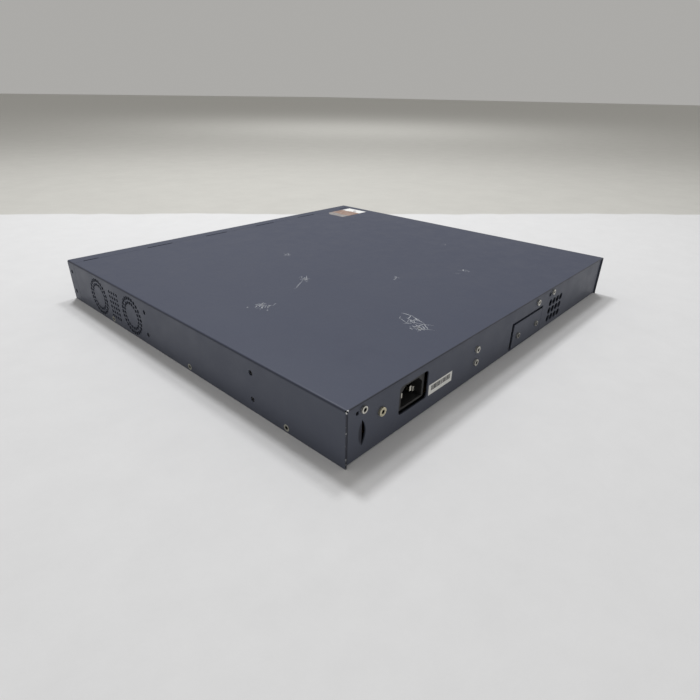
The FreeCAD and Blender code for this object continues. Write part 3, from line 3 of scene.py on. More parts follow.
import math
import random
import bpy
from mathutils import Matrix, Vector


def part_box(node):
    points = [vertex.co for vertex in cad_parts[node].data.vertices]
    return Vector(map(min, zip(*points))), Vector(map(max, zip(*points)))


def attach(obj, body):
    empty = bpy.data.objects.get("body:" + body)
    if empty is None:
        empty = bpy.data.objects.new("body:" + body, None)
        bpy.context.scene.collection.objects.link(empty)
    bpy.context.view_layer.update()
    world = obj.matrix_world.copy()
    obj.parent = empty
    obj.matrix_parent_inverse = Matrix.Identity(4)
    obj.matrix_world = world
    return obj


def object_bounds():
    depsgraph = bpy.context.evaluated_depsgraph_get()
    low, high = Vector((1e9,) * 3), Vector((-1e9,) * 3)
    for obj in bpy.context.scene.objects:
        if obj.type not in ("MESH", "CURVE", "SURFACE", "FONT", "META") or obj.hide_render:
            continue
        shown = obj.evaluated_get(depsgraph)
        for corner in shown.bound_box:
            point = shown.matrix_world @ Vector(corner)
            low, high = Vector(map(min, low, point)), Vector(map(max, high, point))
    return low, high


bl_info = {
    "name": "Rackmount Network Switch",
    "version": (1, 0, 0),
    "blender": (4, 5, 0),
    "location": "View3D > Sidebar > Switch",
    "description": "Paints the case and adds the labels, scuffs, contacts and board parts of a switch",
    "category": "Object",
}

import bmesh
import bpy
from mathutils import Matrix, Vector

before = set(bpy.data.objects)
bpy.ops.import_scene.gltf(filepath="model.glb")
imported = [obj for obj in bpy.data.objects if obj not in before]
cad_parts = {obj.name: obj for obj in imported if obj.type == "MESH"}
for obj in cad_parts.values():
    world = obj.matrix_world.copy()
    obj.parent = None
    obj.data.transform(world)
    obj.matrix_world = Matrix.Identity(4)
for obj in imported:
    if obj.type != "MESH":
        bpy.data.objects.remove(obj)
FRAME_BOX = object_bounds()

CASE = "chassis"
MM = 0.001

# The half-moon slot of the rear wall: how far the painted shade of its dished side lies from the wall's end,
# and its height.
DISH_SHADE_FROM_SIDE = 14.6 * MM
DISH_SHADE_HEIGHT = 19.0 * MM
# Radius of the painted shade in the recess of the rear, side, plate and inner screws.
REAR_RECESS_SHADE = 2.2 * MM
SIDE_RECESS_SHADE = 2.0 * MM
PLATE_RECESS_SHADE = 2.6 * MM
INNER_RECESS_SHADE = 1.6 * MM
# Across, along and up, as the axis that a screw points along.
ACROSS, ALONG, UP = 0, 1, 2
# Steps of one scratch, and how far below the top of the sticker the scratched face lies.
SCRATCH_STEPS = 8
SCRATCH_DEPTH = 0.07 * MM
INK_THICKNESS = 0.02 * MM
LABEL_SEED = 11
WIRES_PER_JACK = 8
WIRE_RADIUS = 0.17 * MM
PARTS_SEED = 3
PART_SPACING = 4.5 * MM
PART_TRIES = 2000
FLOOR_HALF_SIZE = 30.0
# The far edge of the floor sheet: its direction on the floor and its distance from the object's middle.
EDGE_ACROSS, EDGE_ALONG, EDGE_DISTANCE = -0.684, -0.729, 0.442
# Each lamp: name, place, aim, size and its share of the lamps' power.
LAMPS = (
    ("key_light", (-0.31, -0.86, 1.9), (0.0, 0.0, 0.0), 0.3, 0.66),
    ("side_light", (-0.72, -0.34, 1.9), (0.0, 0.0, 0.0), 0.3, 0.34),
    ("back_light", (-2.2, -2.0, 1.6), (-3.4, -3.1, 0.0), 1.6, 0.55),
)
LAMP_COLOUR = (0.98, 0.99, 1.0)
SKY_COLOUR = (1.0, 0.985, 0.95, 1.0)
# The camera: its place, and the directions of its picture's right, its picture's foot and its view.
CAMERA_PLACE = Vector((0.39675, 0.37163, 0.20878))
CAMERA_RIGHT = Vector((-0.6791, 0.7339, 0.0150))
CAMERA_DOWN = Vector((0.3276, 0.3214, -0.8885))
CAMERA_AHEAD = Vector((-0.6569, -0.5985, -0.4587))
CAMERA_LENS = 25.45
CAMERA_SENSOR = 36.0


# ---------------------------------------------------------------- settings

class CasePaintSettings(bpy.types.PropertyGroup):
    """The powder coat of the sheet metal."""

    coat: bpy.props.FloatVectorProperty(
        name="Coat", description="Colour of the powder coat on top", subtype="COLOR", size=4,
        default=(0.052, 0.061, 0.099, 1.0), min=0.0, max=1.0)
    # Painted light: the walls' coat is the same paint as the top's, coloured lighter to stand in for the
    # light bounced up from the floor.
    coat_walls_painted_light: bpy.props.FloatVectorProperty(
        name="Coat on walls", description="Colour of the chalkier coat on the walls", subtype="COLOR", size=4,
        default=(0.073, 0.082, 0.113, 1.0), min=0.0, max=1.0)
    roughness: bpy.props.FloatProperty(
        name="Roughness", description="Roughness of the coat", subtype="FACTOR",
        default=0.46, min=0.0, max=1.0)
    peel: bpy.props.FloatProperty(
        name="Orange peel", description="Height of the coat's fine ripple", unit="LENGTH",
        default=0.00003, min=0.0, max=0.001)


class WearSettings(bpy.types.PropertyGroup):
    """The scratches on the cover and the chip at its corner."""

    scratch: bpy.props.FloatVectorProperty(
        name="Scratch", description="Colour of a scratch", subtype="COLOR", size=4,
        default=(0.58, 0.60, 0.64, 1.0), min=0.0, max=1.0)
    scratch_width: bpy.props.FloatProperty(
        name="Scratch width", description="Width of the widest scratch", unit="LENGTH",
        default=0.0008, min=0.0, max=0.002)
    seed: bpy.props.IntProperty(
        name="Seed", description="Seed of the scratches' places", default=7, min=0)


class LabelSettings(bpy.types.PropertyGroup):
    """The bar label on the rear wall and the sticker on the cover."""

    paper: bpy.props.FloatVectorProperty(
        name="Paper", description="Colour of the labels' paper", subtype="COLOR", size=4,
        default=(0.9, 0.9, 0.885, 1.0), min=0.0, max=1.0)
    ink: bpy.props.FloatVectorProperty(
        name="Ink", description="Colour of the printed bars", subtype="COLOR", size=4,
        default=(0.05, 0.05, 0.055, 1.0), min=0.0, max=1.0)
    bar_count: bpy.props.IntProperty(
        name="Bars", description="Number of printed bars", default=34, min=1, max=80)


class BoardSettings(bpy.types.PropertyGroup):
    """The circuit boards and their small parts."""

    mask: bpy.props.FloatVectorProperty(
        name="Solder mask", description="Colour of the main board", subtype="COLOR", size=4,
        default=(0.012, 0.11, 0.045, 1.0), min=0.0, max=1.0)
    chip_count: bpy.props.IntProperty(
        name="Small parts", description="Number of small parts soldered to the board",
        default=220, min=0, max=1000)


class StageSettings(bpy.types.PropertyGroup):
    """The floor, the lights and the camera."""

    floor: bpy.props.FloatVectorProperty(
        name="Floor", description="Colour of the floor sheet", subtype="COLOR", size=4,
        default=(0.8, 0.8, 0.81, 1.0), min=0.0, max=1.0)
    surround: bpy.props.FloatVectorProperty(
        name="Surround", description="Colour beyond the floor sheet", subtype="COLOR", size=4,
        default=(0.62, 0.61, 0.575, 1.0), min=0.0, max=1.0)
    sky: bpy.props.FloatProperty(
        name="Sky", description="Strength of the even light from all round", default=0.41, min=0.0)
    key_power: bpy.props.FloatProperty(
        name="Key light", description="Power shared out among the lamps", unit="POWER",
        default=28.0, min=0.0)


# ---------------------------------------------------------------- finishes

class Finish:
    """One material: its node tree, its surface shader and short ways to add nodes to it."""

    def __init__(self, name):
        self.material = bpy.data.materials.new(name)
        self.material.use_nodes = True
        self.tree = self.material.node_tree
        self.shader = self.tree.nodes["Principled BSDF"]
        self.places = self.tree.nodes.new("ShaderNodeTexCoord").outputs["Object"]

    def join(self, source, target):
        self.tree.links.new(source, target)

    def set(self, **numbers):
        """Numbers that are the same all over, on the shader's own sockets."""
        for socket, number in numbers.items():
            self.shader.inputs[socket.replace("_", " ")].default_value = number
        return self

    def stretched(self, scale):
        """Object coordinates with another scale along each axis."""
        node = self.tree.nodes.new("ShaderNodeMapping")
        node.inputs["Scale"].default_value = scale
        self.join(self.places, node.inputs["Vector"])
        return node.outputs["Vector"]

    def noise(self, scale, detail=3.0, rough=0.55, at=None):
        node = self.tree.nodes.new("ShaderNodeTexNoise")
        node.inputs["Scale"].default_value = scale
        node.inputs["Detail"].default_value = detail
        node.inputs["Roughness"].default_value = rough
        self.join(at or self.places, node.inputs["Vector"])
        return node.outputs["Fac"]

    def cells(self, scale, at=None):
        node = self.tree.nodes.new("ShaderNodeTexVoronoi")
        node.inputs["Scale"].default_value = scale
        self.join(at or self.places, node.inputs["Vector"])
        return node.outputs["Distance"]

    def bands(self, scale, axis="X", warp=1.0, at=None):
        node = self.tree.nodes.new("ShaderNodeTexWave")
        node.bands_direction = axis
        node.inputs["Scale"].default_value = scale
        node.inputs["Distortion"].default_value = warp
        self.join(at or self.places, node.inputs["Vector"])
        return node.outputs["Fac"]

    def between(self, factor, low, high, first=0.0, last=1.0):
        """The factor's range low..high, stretched to first..last and held there."""
        node = self.tree.nodes.new("ShaderNodeMapRange")
        for socket, number in zip(("From Min", "From Max", "To Min", "To Max"), (low, high, first, last)):
            node.inputs[socket].default_value = number
        self.join(factor, node.inputs["Value"])
        return node.outputs["Result"]

    def blend(self, factor, first, second):
        """A colour between two others, each a colour or another node's output."""
        node = self.tree.nodes.new("ShaderNodeMix")
        node.data_type = "RGBA"
        for socket, colour in (("A", first), ("B", second)):
            target = next(s for s in node.inputs if s.name == socket and s.type == "RGBA")
            if isinstance(colour, bpy.types.NodeSocket):
                self.join(colour, target)
            else:
                target.default_value = tuple(colour)[:3] + (1.0,)
        self.join(factor, node.inputs["Factor"])
        return next(s for s in node.outputs if s.type == "RGBA")

    def sum(self, first, second, how="ADD"):
        node = self.tree.nodes.new("ShaderNodeMath")
        node.operation = how
        for target, value in zip(node.inputs, (first, second)):
            if isinstance(value, bpy.types.NodeSocket):
                self.join(value, target)
            else:
                target.default_value = value
        return node.outputs["Value"]

    def spot(self, centre, reach):
        """One at a point, falling to zero at the given reach along each axis."""
        node = self.tree.nodes.new("ShaderNodeMapping")
        node.inputs["Scale"].default_value = [1.0 / r for r in reach]
        node.inputs["Location"].default_value = [-c / r for c, r in zip(centre, reach)]
        self.join(self.places, node.inputs["Vector"])
        length = self.tree.nodes.new("ShaderNodeVectorMath")
        length.operation = "LENGTH"
        self.join(node.outputs["Vector"], length.inputs[0])
        return self.between(length.outputs["Value"], 1.0, 0.0)

    def along(self, axis):
        """One of the three object coordinates."""
        node = self.tree.nodes.new("ShaderNodeSeparateXYZ")
        self.join(self.places, node.inputs["Vector"])
        return node.outputs[axis]

    def colour(self, output):
        self.join(output, self.shader.inputs["Base Color"])
        return self

    def dull(self, factor, low, high):
        """Roughness that follows a factor."""
        self.join(self.between(factor, 0.3, 0.7, low, high), self.shader.inputs["Roughness"])
        return self

    def relief(self, height, distance, strength=1.0):
        """Bump on top of whatever bump the shader already has."""
        node = self.tree.nodes.new("ShaderNodeBump")
        node.inputs["Strength"].default_value = strength
        node.inputs["Distance"].default_value = distance
        self.join(height, node.inputs["Height"])
        before = self.shader.inputs["Normal"]
        if before.is_linked:
            self.join(before.links[0].from_socket, node.inputs["Normal"])
        self.join(node.outputs["Normal"], before)
        return self


def powder_coat(settings):
    """Blue-grey satin powder coat with a fine ripple, painted shade along the folds, the rear edge and the
    half-moon slot's dished side, walls painted lighter as painted light from the floor, a chipped corner and
    worn ends.
    """
    finish = Finish("blue_grey_powder_coat")
    clouds = finish.noise(9.0, 6.0, 0.62)
    flecks = finish.between(finish.noise(1900.0, 2.0), 0.6, 0.8)
    low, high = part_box("top_cover")
    # Painted light: below the top's fold the walls take the lighter coat, standing in for the floor's bounced
    # light on the sides.
    walls = finish.between(finish.along("Z"), high.z - 0.2 * MM, high.z - 1.4 * MM)
    plain = finish.blend(walls, settings.coat, settings.coat_walls_painted_light)
    base = finish.blend(finish.between(clouds, 0.3, 0.75, 0.0, 0.05), plain, (0.2, 0.21, 0.23))
    speckled = finish.blend(finish.sum(flecks, 0.22, "MULTIPLY"), base, (0.22, 0.23, 0.26))
    # Painted shade: a dark band along the cover's rear edge, standing in for the shadow under its overhang.
    rear_edge_painted_shade = finish.between(finish.along("Y"), high.y - 0.7 * MM, high.y - 0.3 * MM, 0.0, 0.75)
    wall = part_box("base_pan")[1]
    # Painted shade of the dished side of the rear wall's half-moon slot.
    dish_painted_shade = finish.spot((wall.x - DISH_SHADE_FROM_SIDE, wall.y, DISH_SHADE_HEIGHT), (3.4 * MM, 2.5 * MM, 10.0 * MM))
    across = finish.sum(finish.along("X"), 0.0, "ABSOLUTE")
    # Painted shade: a dark line along the fold between the top and the walls.
    fold_painted_shade = finish.sum(finish.between(across, high.x - 1.1 * MM, high.x - 0.5 * MM, 0.0, 0.6),
                      finish.between(finish.along("Z"), high.z - 1.8 * MM, high.z - 0.9 * MM), "MULTIPLY")
    painted_shade_rear_edge_and_dish = finish.sum(rear_edge_painted_shade, finish.between(dish_painted_shade, 0.06, 0.3, 0.0, 0.8), "MAXIMUM")
    # The dark colour blended in here is painted shade along the rear edge, the slot's dish and the folds.
    shaded = finish.blend(finish.sum(painted_shade_rear_edge_and_dish, fold_painted_shade, "MAXIMUM"), speckled, (0.012, 0.013, 0.022))
    corner = (high.x - 0.4 * MM, high.y, high.z - 0.6 * MM)
    worn = finish.sum(finish.spot(corner, (2.3 * MM, 0.8 * MM, 2.1 * MM)),
                      finish.between(finish.noise(900.0), 0.3, 0.7, -0.22, 0.12))
    ends = finish.sum(finish.between(finish.along("Y"), high.y - 1.0 * MM, high.y - 0.5 * MM),
                      finish.between(across, high.x - 1.0 * MM, high.x - 0.5 * MM), "MULTIPLY")
    chips = finish.sum(ends, finish.between(finish.noise(380.0), 0.58, 0.62, 0.0, 0.35), "MULTIPLY")
    bare = finish.sum(finish.between(worn, 0.12, 0.22), chips, "MAXIMUM")
    finish.colour(finish.blend(bare, shaded, (0.75, 0.76, 0.76)))
    finish.dull(finish.noise(45.0), settings.roughness - 0.05, settings.roughness + 0.07)
    finish.set(Specular_IOR_Level=0.3)
    finish.relief(finish.noise(1300.0, 2.0), settings.peel)
    finish.relief(finish.noise(220.0, 2.0), settings.peel)
    return finish.material


def moulded(name, tone, roughness, grain=0.00002):
    """Moulded plastic: a slightly uneven tone and a fine matt grain."""
    finish = Finish(name)
    darker = [c * 0.82 for c in tone[:3]]
    lighter = [min(1.0, c * 1.16 + 0.004) for c in tone[:3]]
    finish.colour(finish.blend(finish.between(finish.noise(160.0, 4.0), 0.35, 0.65), darker, lighter))
    finish.dull(finish.noise(300.0), roughness - 0.06, roughness + 0.08)
    finish.relief(finish.noise(2400.0, 2.0), grain)
    return finish.material


def metal(name, tone, roughness, brushed=False):
    """Bare or plated metal: faintly stained, and brushed lengthwise if asked."""
    finish = Finish(name)
    stains = finish.between(finish.noise(210.0, 4.0), 0.35, 0.7)
    finish.colour(finish.blend(stains, tone, [c * 0.74 for c in tone[:3]]))
    finish.set(Metallic=1.0)
    finish.dull(finish.noise(500.0), roughness - 0.07, roughness + 0.1)
    if brushed:
        finish.relief(finish.noise(1.0, 3.0, at=finish.stretched((2600.0, 60.0, 2600.0))), 0.00001)
    else:
        finish.relief(finish.noise(1500.0), 0.000012)
    return finish.material


def circuit_board(settings):
    """Solder mask over copper tracks, with tinned pads and drilled holes."""
    finish = Finish("green_solder_mask")
    tracks = finish.between(finish.bands(260.0, "X", 5.0), 0.62, 0.68)
    cross = finish.between(finish.bands(180.0, "Y", 7.0), 0.72, 0.78)
    copper = finish.sum(tracks, cross, "MAXIMUM")
    mask = finish.blend(copper, settings.mask, [c * 1.9 + 0.008 for c in settings.mask[:3]])
    vias = finish.between(finish.cells(420.0), 0.16, 0.1)
    finish.colour(finish.blend(vias, mask, (0.6, 0.56, 0.42)))
    finish.dull(finish.noise(120.0), 0.26, 0.36)
    finish.relief(copper, 0.00003)
    return finish.material


def bare_laminate():
    """Tan laminate of the supply's board, with its weave showing."""
    finish = Finish("tan_laminate")
    weave = finish.sum(finish.bands(700.0, "X", 0.4), finish.bands(700.0, "Y", 0.4), "MULTIPLY")
    clouds = finish.between(finish.noise(30.0), 0.35, 0.65)
    tone = finish.blend(clouds, (0.12, 0.075, 0.028), (0.16, 0.1, 0.04))
    finish.colour(finish.blend(finish.between(weave, 0.2, 0.9, 0.0, 0.35), tone, (0.08, 0.05, 0.02)))
    finish.dull(finish.noise(90.0), 0.36, 0.5)
    finish.relief(weave, 0.00002)
    return finish.material


def winding():
    """Enamelled copper wire wound round a core."""
    finish = Finish("enamelled_winding")
    turns = finish.bands(330.0, "DIAGONAL", 0.3)
    # The darker bands between the turns are painted shade in the grooves.
    finish.colour(finish.blend(turns, (0.2, 0.06, 0.02), (0.62, 0.27, 0.1)))
    finish.set(Metallic=0.8)
    finish.dull(finish.noise(200.0), 0.22, 0.34)
    finish.relief(turns, 0.0004)
    return finish.material


def screw_metal(name, tone, recess_shade_radius, axis, *screws):
    """Plated screws: slightly warm metal with worn patches, and painted shade in each head's recess."""
    finish = Finish(name)
    wear = finish.between(finish.noise(900.0, 3.0), 0.38, 0.7)
    plating = finish.blend(wear, tone, [c * 0.6 for c in tone])
    for screw in screws:
        for low, high in islands(screw):
            reach = Vector((recess_shade_radius, recess_shade_radius, recess_shade_radius))
            reach[axis] = high[axis] - low[axis]
            # Painted shade: each head's recess darkened to near black.
            recess_shade = finish.spot((low + high) / 2, reach)
            plating = finish.blend(finish.between(recess_shade, 0.0, 0.3), plating, (0.012, 0.012, 0.012))
    finish.colour(plating)
    finish.set(Metallic=0.85)
    finish.dull(finish.noise(700.0), 0.26, 0.42)
    finish.relief(finish.noise(1600.0), 0.000015)
    return finish.material


def label_paper(settings):
    """White label paper with a faint fibre, yellowed in patches that follow the fibre."""
    finish = Finish("label_paper")
    fibre = finish.noise(1.0, 4.0, at=finish.stretched((900.0, 900.0, 3500.0)))
    aged = [c * s for c, s in zip(settings.paper[:3], (0.9, 0.88, 0.82))]
    finish.colour(finish.blend(finish.between(fibre, 0.3, 0.75), settings.paper, aged))
    finish.dull(fibre, 0.45, 0.6)
    finish.relief(fibre, 0.00001)
    return finish.material


def worn_sticker(settings):
    """A worn sticker: white at one end, rust-coloured in the middle, grey and scuffed at the other."""
    finish = Finish("worn_sticker")
    low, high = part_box("top_sticker")
    span = high.x - low.x
    x = finish.along("X")
    ragged = finish.sum(x, finish.between(finish.noise(160.0, 4.0), 0.3, 0.7, -0.0022, 0.0022))
    smears = finish.noise(1.0, 4.0, at=finish.stretched((120.0, 700.0, 120.0)))
    rust = finish.blend(finish.between(smears, 0.38, 0.62), (0.27, 0.155, 0.11), (0.4, 0.29, 0.24))
    grey = finish.blend(finish.between(smears, 0.4, 0.65), (0.36, 0.34, 0.33), (0.2, 0.18, 0.18))
    to_rust = finish.between(ragged, low.x + span * 0.30, low.x + span * 0.315)
    to_grey = finish.between(ragged, low.x + span * 0.72, low.x + span * 0.78)
    print_colour = finish.blend(to_grey, rust, grey)
    middle = (low.x + span * 0.17, (low.y + high.y) / 2 + 2 * MM, high.z)
    marked = finish.spot(middle, (4 * MM, 3 * MM, 3 * MM))
    white = finish.blend(finish.between(marked, 0.1, 0.25), settings.paper, (0.16, 0.12, 0.12))
    finish.colour(finish.blend(to_rust, white, print_colour))
    finish.dull(smears, 0.4, 0.62)
    finish.relief(finish.noise(500.0), 0.00002)
    return finish.material


def printed_ink(settings):
    """Matt printing ink, thinner in places."""
    finish = Finish("printing_ink")
    thin = finish.between(finish.noise(1800.0), 0.5, 0.8, 0.0, 0.5)
    finish.colour(finish.blend(thin, settings.ink, (0.3, 0.3, 0.3)))
    finish.dull(finish.noise(400.0), 0.5, 0.6)
    return finish.material


def scratch_mark(settings):
    """A scratch in the coat: pale, dusty and broken up."""
    finish = Finish("pale_scratch")
    broken = finish.between(finish.noise(1100.0, 4.0), 0.35, 0.68)
    finish.colour(finish.blend(broken, settings.scratch, (0.24, 0.25, 0.29)))
    finish.dull(finish.noise(500.0), 0.5, 0.7)
    finish.relief(broken, 0.00002)
    return finish.material


def lens():
    """Clear moulded light pipe, faintly green."""
    finish = Finish("clear_light_pipe")
    finish.colour(finish.blend(finish.noise(200.0), (0.75, 0.82, 0.78), (0.85, 0.9, 0.87)))
    finish.set(Transmission_Weight=0.6, IOR=1.49)
    finish.dull(finish.noise(400.0), 0.08, 0.16)
    return finish.material


def floor_sheet(settings):
    """A pale sheet on the floor, and the duller surround beyond its far edge."""
    finish = Finish("pale_floor_sheet")
    fibres = finish.noise(30.0, 6.0, 0.65)
    sheet = finish.blend(finish.between(fibres, 0.3, 0.7), settings.floor,
                         [c * 0.965 for c in settings.floor[:3]])
    rough = finish.noise(14.0, 8.0, 0.7)
    beyond = finish.blend(finish.between(rough, 0.3, 0.7), settings.surround,
                          [c * 0.93 for c in settings.surround[:3]])
    reach = finish.sum(finish.sum(finish.along("X"), EDGE_ACROSS, "MULTIPLY"),
                       finish.sum(finish.along("Y"), EDGE_ALONG, "MULTIPLY"))
    ragged = finish.sum(reach, finish.between(finish.noise(5.0), 0.3, 0.7, -0.012, 0.012))
    past_edge = finish.between(ragged, EDGE_DISTANCE - 5 * MM, EDGE_DISTANCE + 5 * MM)
    finish.colour(finish.blend(past_edge, sheet, beyond))
    finish.dull(finish.noise(40.0), 0.6, 0.75)
    finish.set(Specular_IOR_Level=0.25)
    finish.relief(finish.noise(60.0, 6.0), 0.0003)
    return finish.material


def coat_node(material, *names):
    """Give each CAD node one material."""
    for name in names:
        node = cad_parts[name]
        node.data.materials.clear()
        node.data.materials.append(material)


# ---------------------------------------------------------------- meshes

def new_piece(name, mesh_maker, material, body=CASE):
    """A mesh object built by mesh_maker, which rides on a CAD body."""
    mesh = bpy.data.meshes.new(name)
    shape = bmesh.new()
    mesh_maker(shape)
    shape.to_mesh(mesh)
    shape.free()
    piece = bpy.data.objects.new(name, mesh)
    bpy.context.scene.collection.objects.link(piece)
    mesh.materials.append(material)
    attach(piece, body)
    return piece


def add_block(shape, low, high, chamfer=0.0):
    """A block between two corners, its edges chamfered if asked."""
    made = bmesh.ops.create_cube(shape, size=1.0)["verts"]
    low, high = Vector(low), Vector(high)
    bmesh.ops.scale(shape, vec=high - low, verts=made)
    bmesh.ops.translate(shape, vec=(low + high) / 2, verts=made)
    if chamfer:
        edges = list({edge for vert in made for edge in vert.link_edges})
        bmesh.ops.bevel(shape, geom=edges, offset=chamfer, segments=1, affect="EDGES")


def add_ribbon(shape, points, widths):
    """A flat strip on the XY plane that follows points, with its own width at each."""
    rows = []
    for index, point in enumerate(points):
        ahead = points[min(index + 1, len(points) - 1)] - points[max(index - 1, 0)]
        side = Vector((-ahead.y, ahead.x, 0)).normalized() * widths[index] / 2
        rows.append((shape.verts.new(point + side), shape.verts.new(point - side)))
    for first, second in zip(rows, rows[1:]):
        shape.faces.new((first[0], first[1], second[1], second[0]))


def add_tube(shape, points, radius, sides=6):
    """A round lead that follows points."""
    rings = []
    for index, point in enumerate(points):
        ahead = (points[min(index + 1, len(points) - 1)] - points[max(index - 1, 0)]).normalized()
        turn = ahead.to_track_quat("Z", "Y").to_matrix()
        rings.append([shape.verts.new(point + turn @ Vector((math.cos(a) * radius, math.sin(a) * radius, 0)))
                      for a in (2 * math.pi * side / sides for side in range(sides))])
    for first, second in zip(rings, rings[1:]):
        for side in range(sides):
            following = (side + 1) % sides
            shape.faces.new((first[side], first[following], second[following], second[side]))
    shape.faces.new(list(reversed(rings[0])))
    shape.faces.new(rings[-1])


def smooth(piece):
    for face in piece.data.polygons:
        face.use_smooth = True
    return piece


def islands(node):
    """The lowest and highest corners of each separate solid of a CAD node."""
    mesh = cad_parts[node].data
    parent = list(range(len(mesh.vertices)))

    def root(index):
        while parent[index] != index:
            parent[index] = parent[parent[index]]
            index = parent[index]
        return index

    keys = {}
    for vertex in mesh.vertices:
        key = tuple(round(c, 6) for c in vertex.co)
        parent[vertex.index] = root(keys.setdefault(key, vertex.index))
    for edge in mesh.edges:
        first, second = (root(v) for v in edge.vertices)
        parent[first] = second
    groups = {}
    for vertex in mesh.vertices:
        groups.setdefault(root(vertex.index), []).append(vertex.co)
    found = []
    for points in groups.values():
        found.append((Vector([min(p[axis] for p in points) for axis in range(3)]),
                      Vector([max(p[axis] for p in points) for axis in range(3)])))
    return sorted(found, key=lambda pair: tuple(pair[0]))


# ---------------------------------------------------------------- the case

class SWITCH_OT_paint_case(bpy.types.Operator):
    """Powder-coats the cover, the pan, the front frame and the slot's cover plate"""

    bl_idname = "switch.paint_case"
    bl_label = "Paint Case"

    def execute(self, context):
        coat = powder_coat(context.scene.switch_paint)
        coat_node(coat, "top_cover", "base_pan", "front_frame", "slot_cover")
        return {"FINISHED"}


class SWITCH_OT_finish_metalwork(bpy.types.Operator):
    """Gives the screws, nuts, standoffs, brackets and the cage their plating"""

    bl_idname = "switch.finish_metalwork"
    bl_label = "Finish Metalwork"

    def execute(self, context):
        coat_node(screw_metal("nickel_screw", (0.8, 0.78, 0.7), REAR_RECESS_SHADE, ALONG, "rear_screws"),
                  "rear_screws")
        coat_node(screw_metal("brassy_screw", (0.78, 0.72, 0.52), REAR_RECESS_SHADE, ALONG, "ground_screw"),
                  "ground_screw")
        coat_node(screw_metal("slot_screw", (0.6, 0.59, 0.54), PLATE_RECESS_SHADE, ALONG, "slot_cover_screws"),
                  "slot_cover_screws")
        coat_node(screw_metal("side_screw", (0.66, 0.65, 0.56), SIDE_RECESS_SHADE, ACROSS, "side_screws"),
                  "side_screws")
        coat_node(screw_metal("plain_screw", (0.4, 0.39, 0.36), INNER_RECESS_SHADE, UP), "fan_screws",
                  "board_screws", "supply_screws")
        coat_node(metal("zinc_plate", (0.6, 0.61, 0.6), 0.38), "rack_nuts", "board_standoffs",
                  "supply_standoffs", "slot_frame", "supply_partition")
        coat_node(metal("tin_plate", (0.7, 0.7, 0.68), 0.3, True), "transceiver_cage")
        coat_node(metal("extruded_aluminium", (0.72, 0.73, 0.74), 0.34, True), "processor_heat_sink",
                  "supply_heat_sinks", "board_capacitors")
        coat_node(metal("black_anodised", (0.035, 0.035, 0.038), 0.4, True), "switch_heat_sink")
        coat_node(metal("plated_pin", (0.82, 0.79, 0.7), 0.2), "inlet_pins")
        coat_node(metal("gold_flash", (0.85, 0.62, 0.25), 0.24), "jack_contacts")
        return {"FINISHED"}


class SWITCH_OT_finish_mouldings(bpy.types.Operator):
    """Gives the inlet, the jacks, the fans, the button and the connectors their moulded finishes"""

    bl_idname = "switch.finish_mouldings"
    bl_label = "Finish Mouldings"

    def execute(self, context):
        coat_node(moulded("inlet_moulding", (0.022, 0.022, 0.0225), 0.5), "inlet_housing")
        coat_node(moulded("fan_moulding", (0.018, 0.018, 0.02), 0.5), "fan_frame_front", "fan_frame_rear",
                  "fan_rotor_front", "fan_rotor_rear")
        coat_node(moulded("jack_moulding", (0.05, 0.052, 0.058), 0.45), "jack_block_first",
                  "jack_block_second")
        coat_node(moulded("console_moulding", (0.06, 0.2, 0.42), 0.42), "console_jack")
        coat_node(moulded("button_moulding", (0.16, 0.165, 0.17), 0.4), "mode_button")
        coat_node(moulded("connector_moulding", (0.02, 0.02, 0.021), 0.45), "cage_connectors",
                  "button_switch", "lamp_stack", "expansion_connector")
        coat_node(moulded("nylon", (0.72, 0.7, 0.62), 0.45), "fan_plugs", "power_connectors",
                  "switch_plunger")
        coat_node(moulded("chip_resin", (0.022, 0.022, 0.024), 0.55, 0.00003), "switch_chip",
                  "processor_chip", "memory_chips", "port_chips", "port_magnetics")
        coat_node(moulded("ferrite", (0.05, 0.048, 0.046), 0.6, 0.00005), "power_coils", "supply_transformer")
        coat_node(moulded("shrink_sleeve", (0.012, 0.022, 0.06), 0.25), "supply_capacitors")
        coat_node(moulded("filter_moulding", (0.6, 0.46, 0.07), 0.36), "line_filter")
        coat_node(moulded("lead_insulation", (0.32, 0.025, 0.02), 0.34), "power_leads", "fan_leads")
        coat_node(winding(), "fan_stator_front", "fan_stator_rear", "supply_choke")
        coat_node(lens(), "light_pipes")
        return {"FINISHED"}


class SWITCH_OT_finish_boards(bpy.types.Operator):
    """Gives the two circuit boards their laminate"""

    bl_idname = "switch.finish_boards"
    bl_label = "Finish Boards"

    def execute(self, context):
        coat_node(circuit_board(context.scene.switch_board), "main_board")
        coat_node(bare_laminate(), "supply_board")
        return {"FINISHED"}


# ---------------------------------------------------------------- wear

# Clusters of scratches on the cover, in millimetres: across, along, radius, strokes, heading.
SCUFFS = (
    (94.4, 170.7, 9.0, 34, 60), (88.0, 158.0, 15.0, 16, 64), (153.0, 45.0, 12.0, 26, 20),
    (79.0, 18.7, 10.0, 24, 10), (35.4, -57.4, 8.0, 12, 0), (11.5, 82.0, 9.0, 9, 30),
    (-131.7, 47.5, 6.0, 6, 15), (-60.0, 118.0, 16.0, 7, 40),
)
# Long single scratches on the cover: start and end, in millimetres, and width as a share of the widest.
STROKES = (
    (78.9, 140.5, 78.4, 153.0, 1.0), (78.5, 152.0, 83.8, 166.5, 1.0), (83.5, 166.0, 91.5, 177.5, 0.8),
    (96.0, 166.0, 84.0, 169.0, 0.9), (82.0, 20.0, 104.8, 33.6, 0.7),
    (90.0, 160.0, 82.0, 176.0, 0.6), (99.0, 165.0, 88.0, 182.0, 0.5), (146.0, 38.0, 160.0, 52.0, 0.5),
    (70.0, 12.0, 80.0, 24.0, 0.6),
)


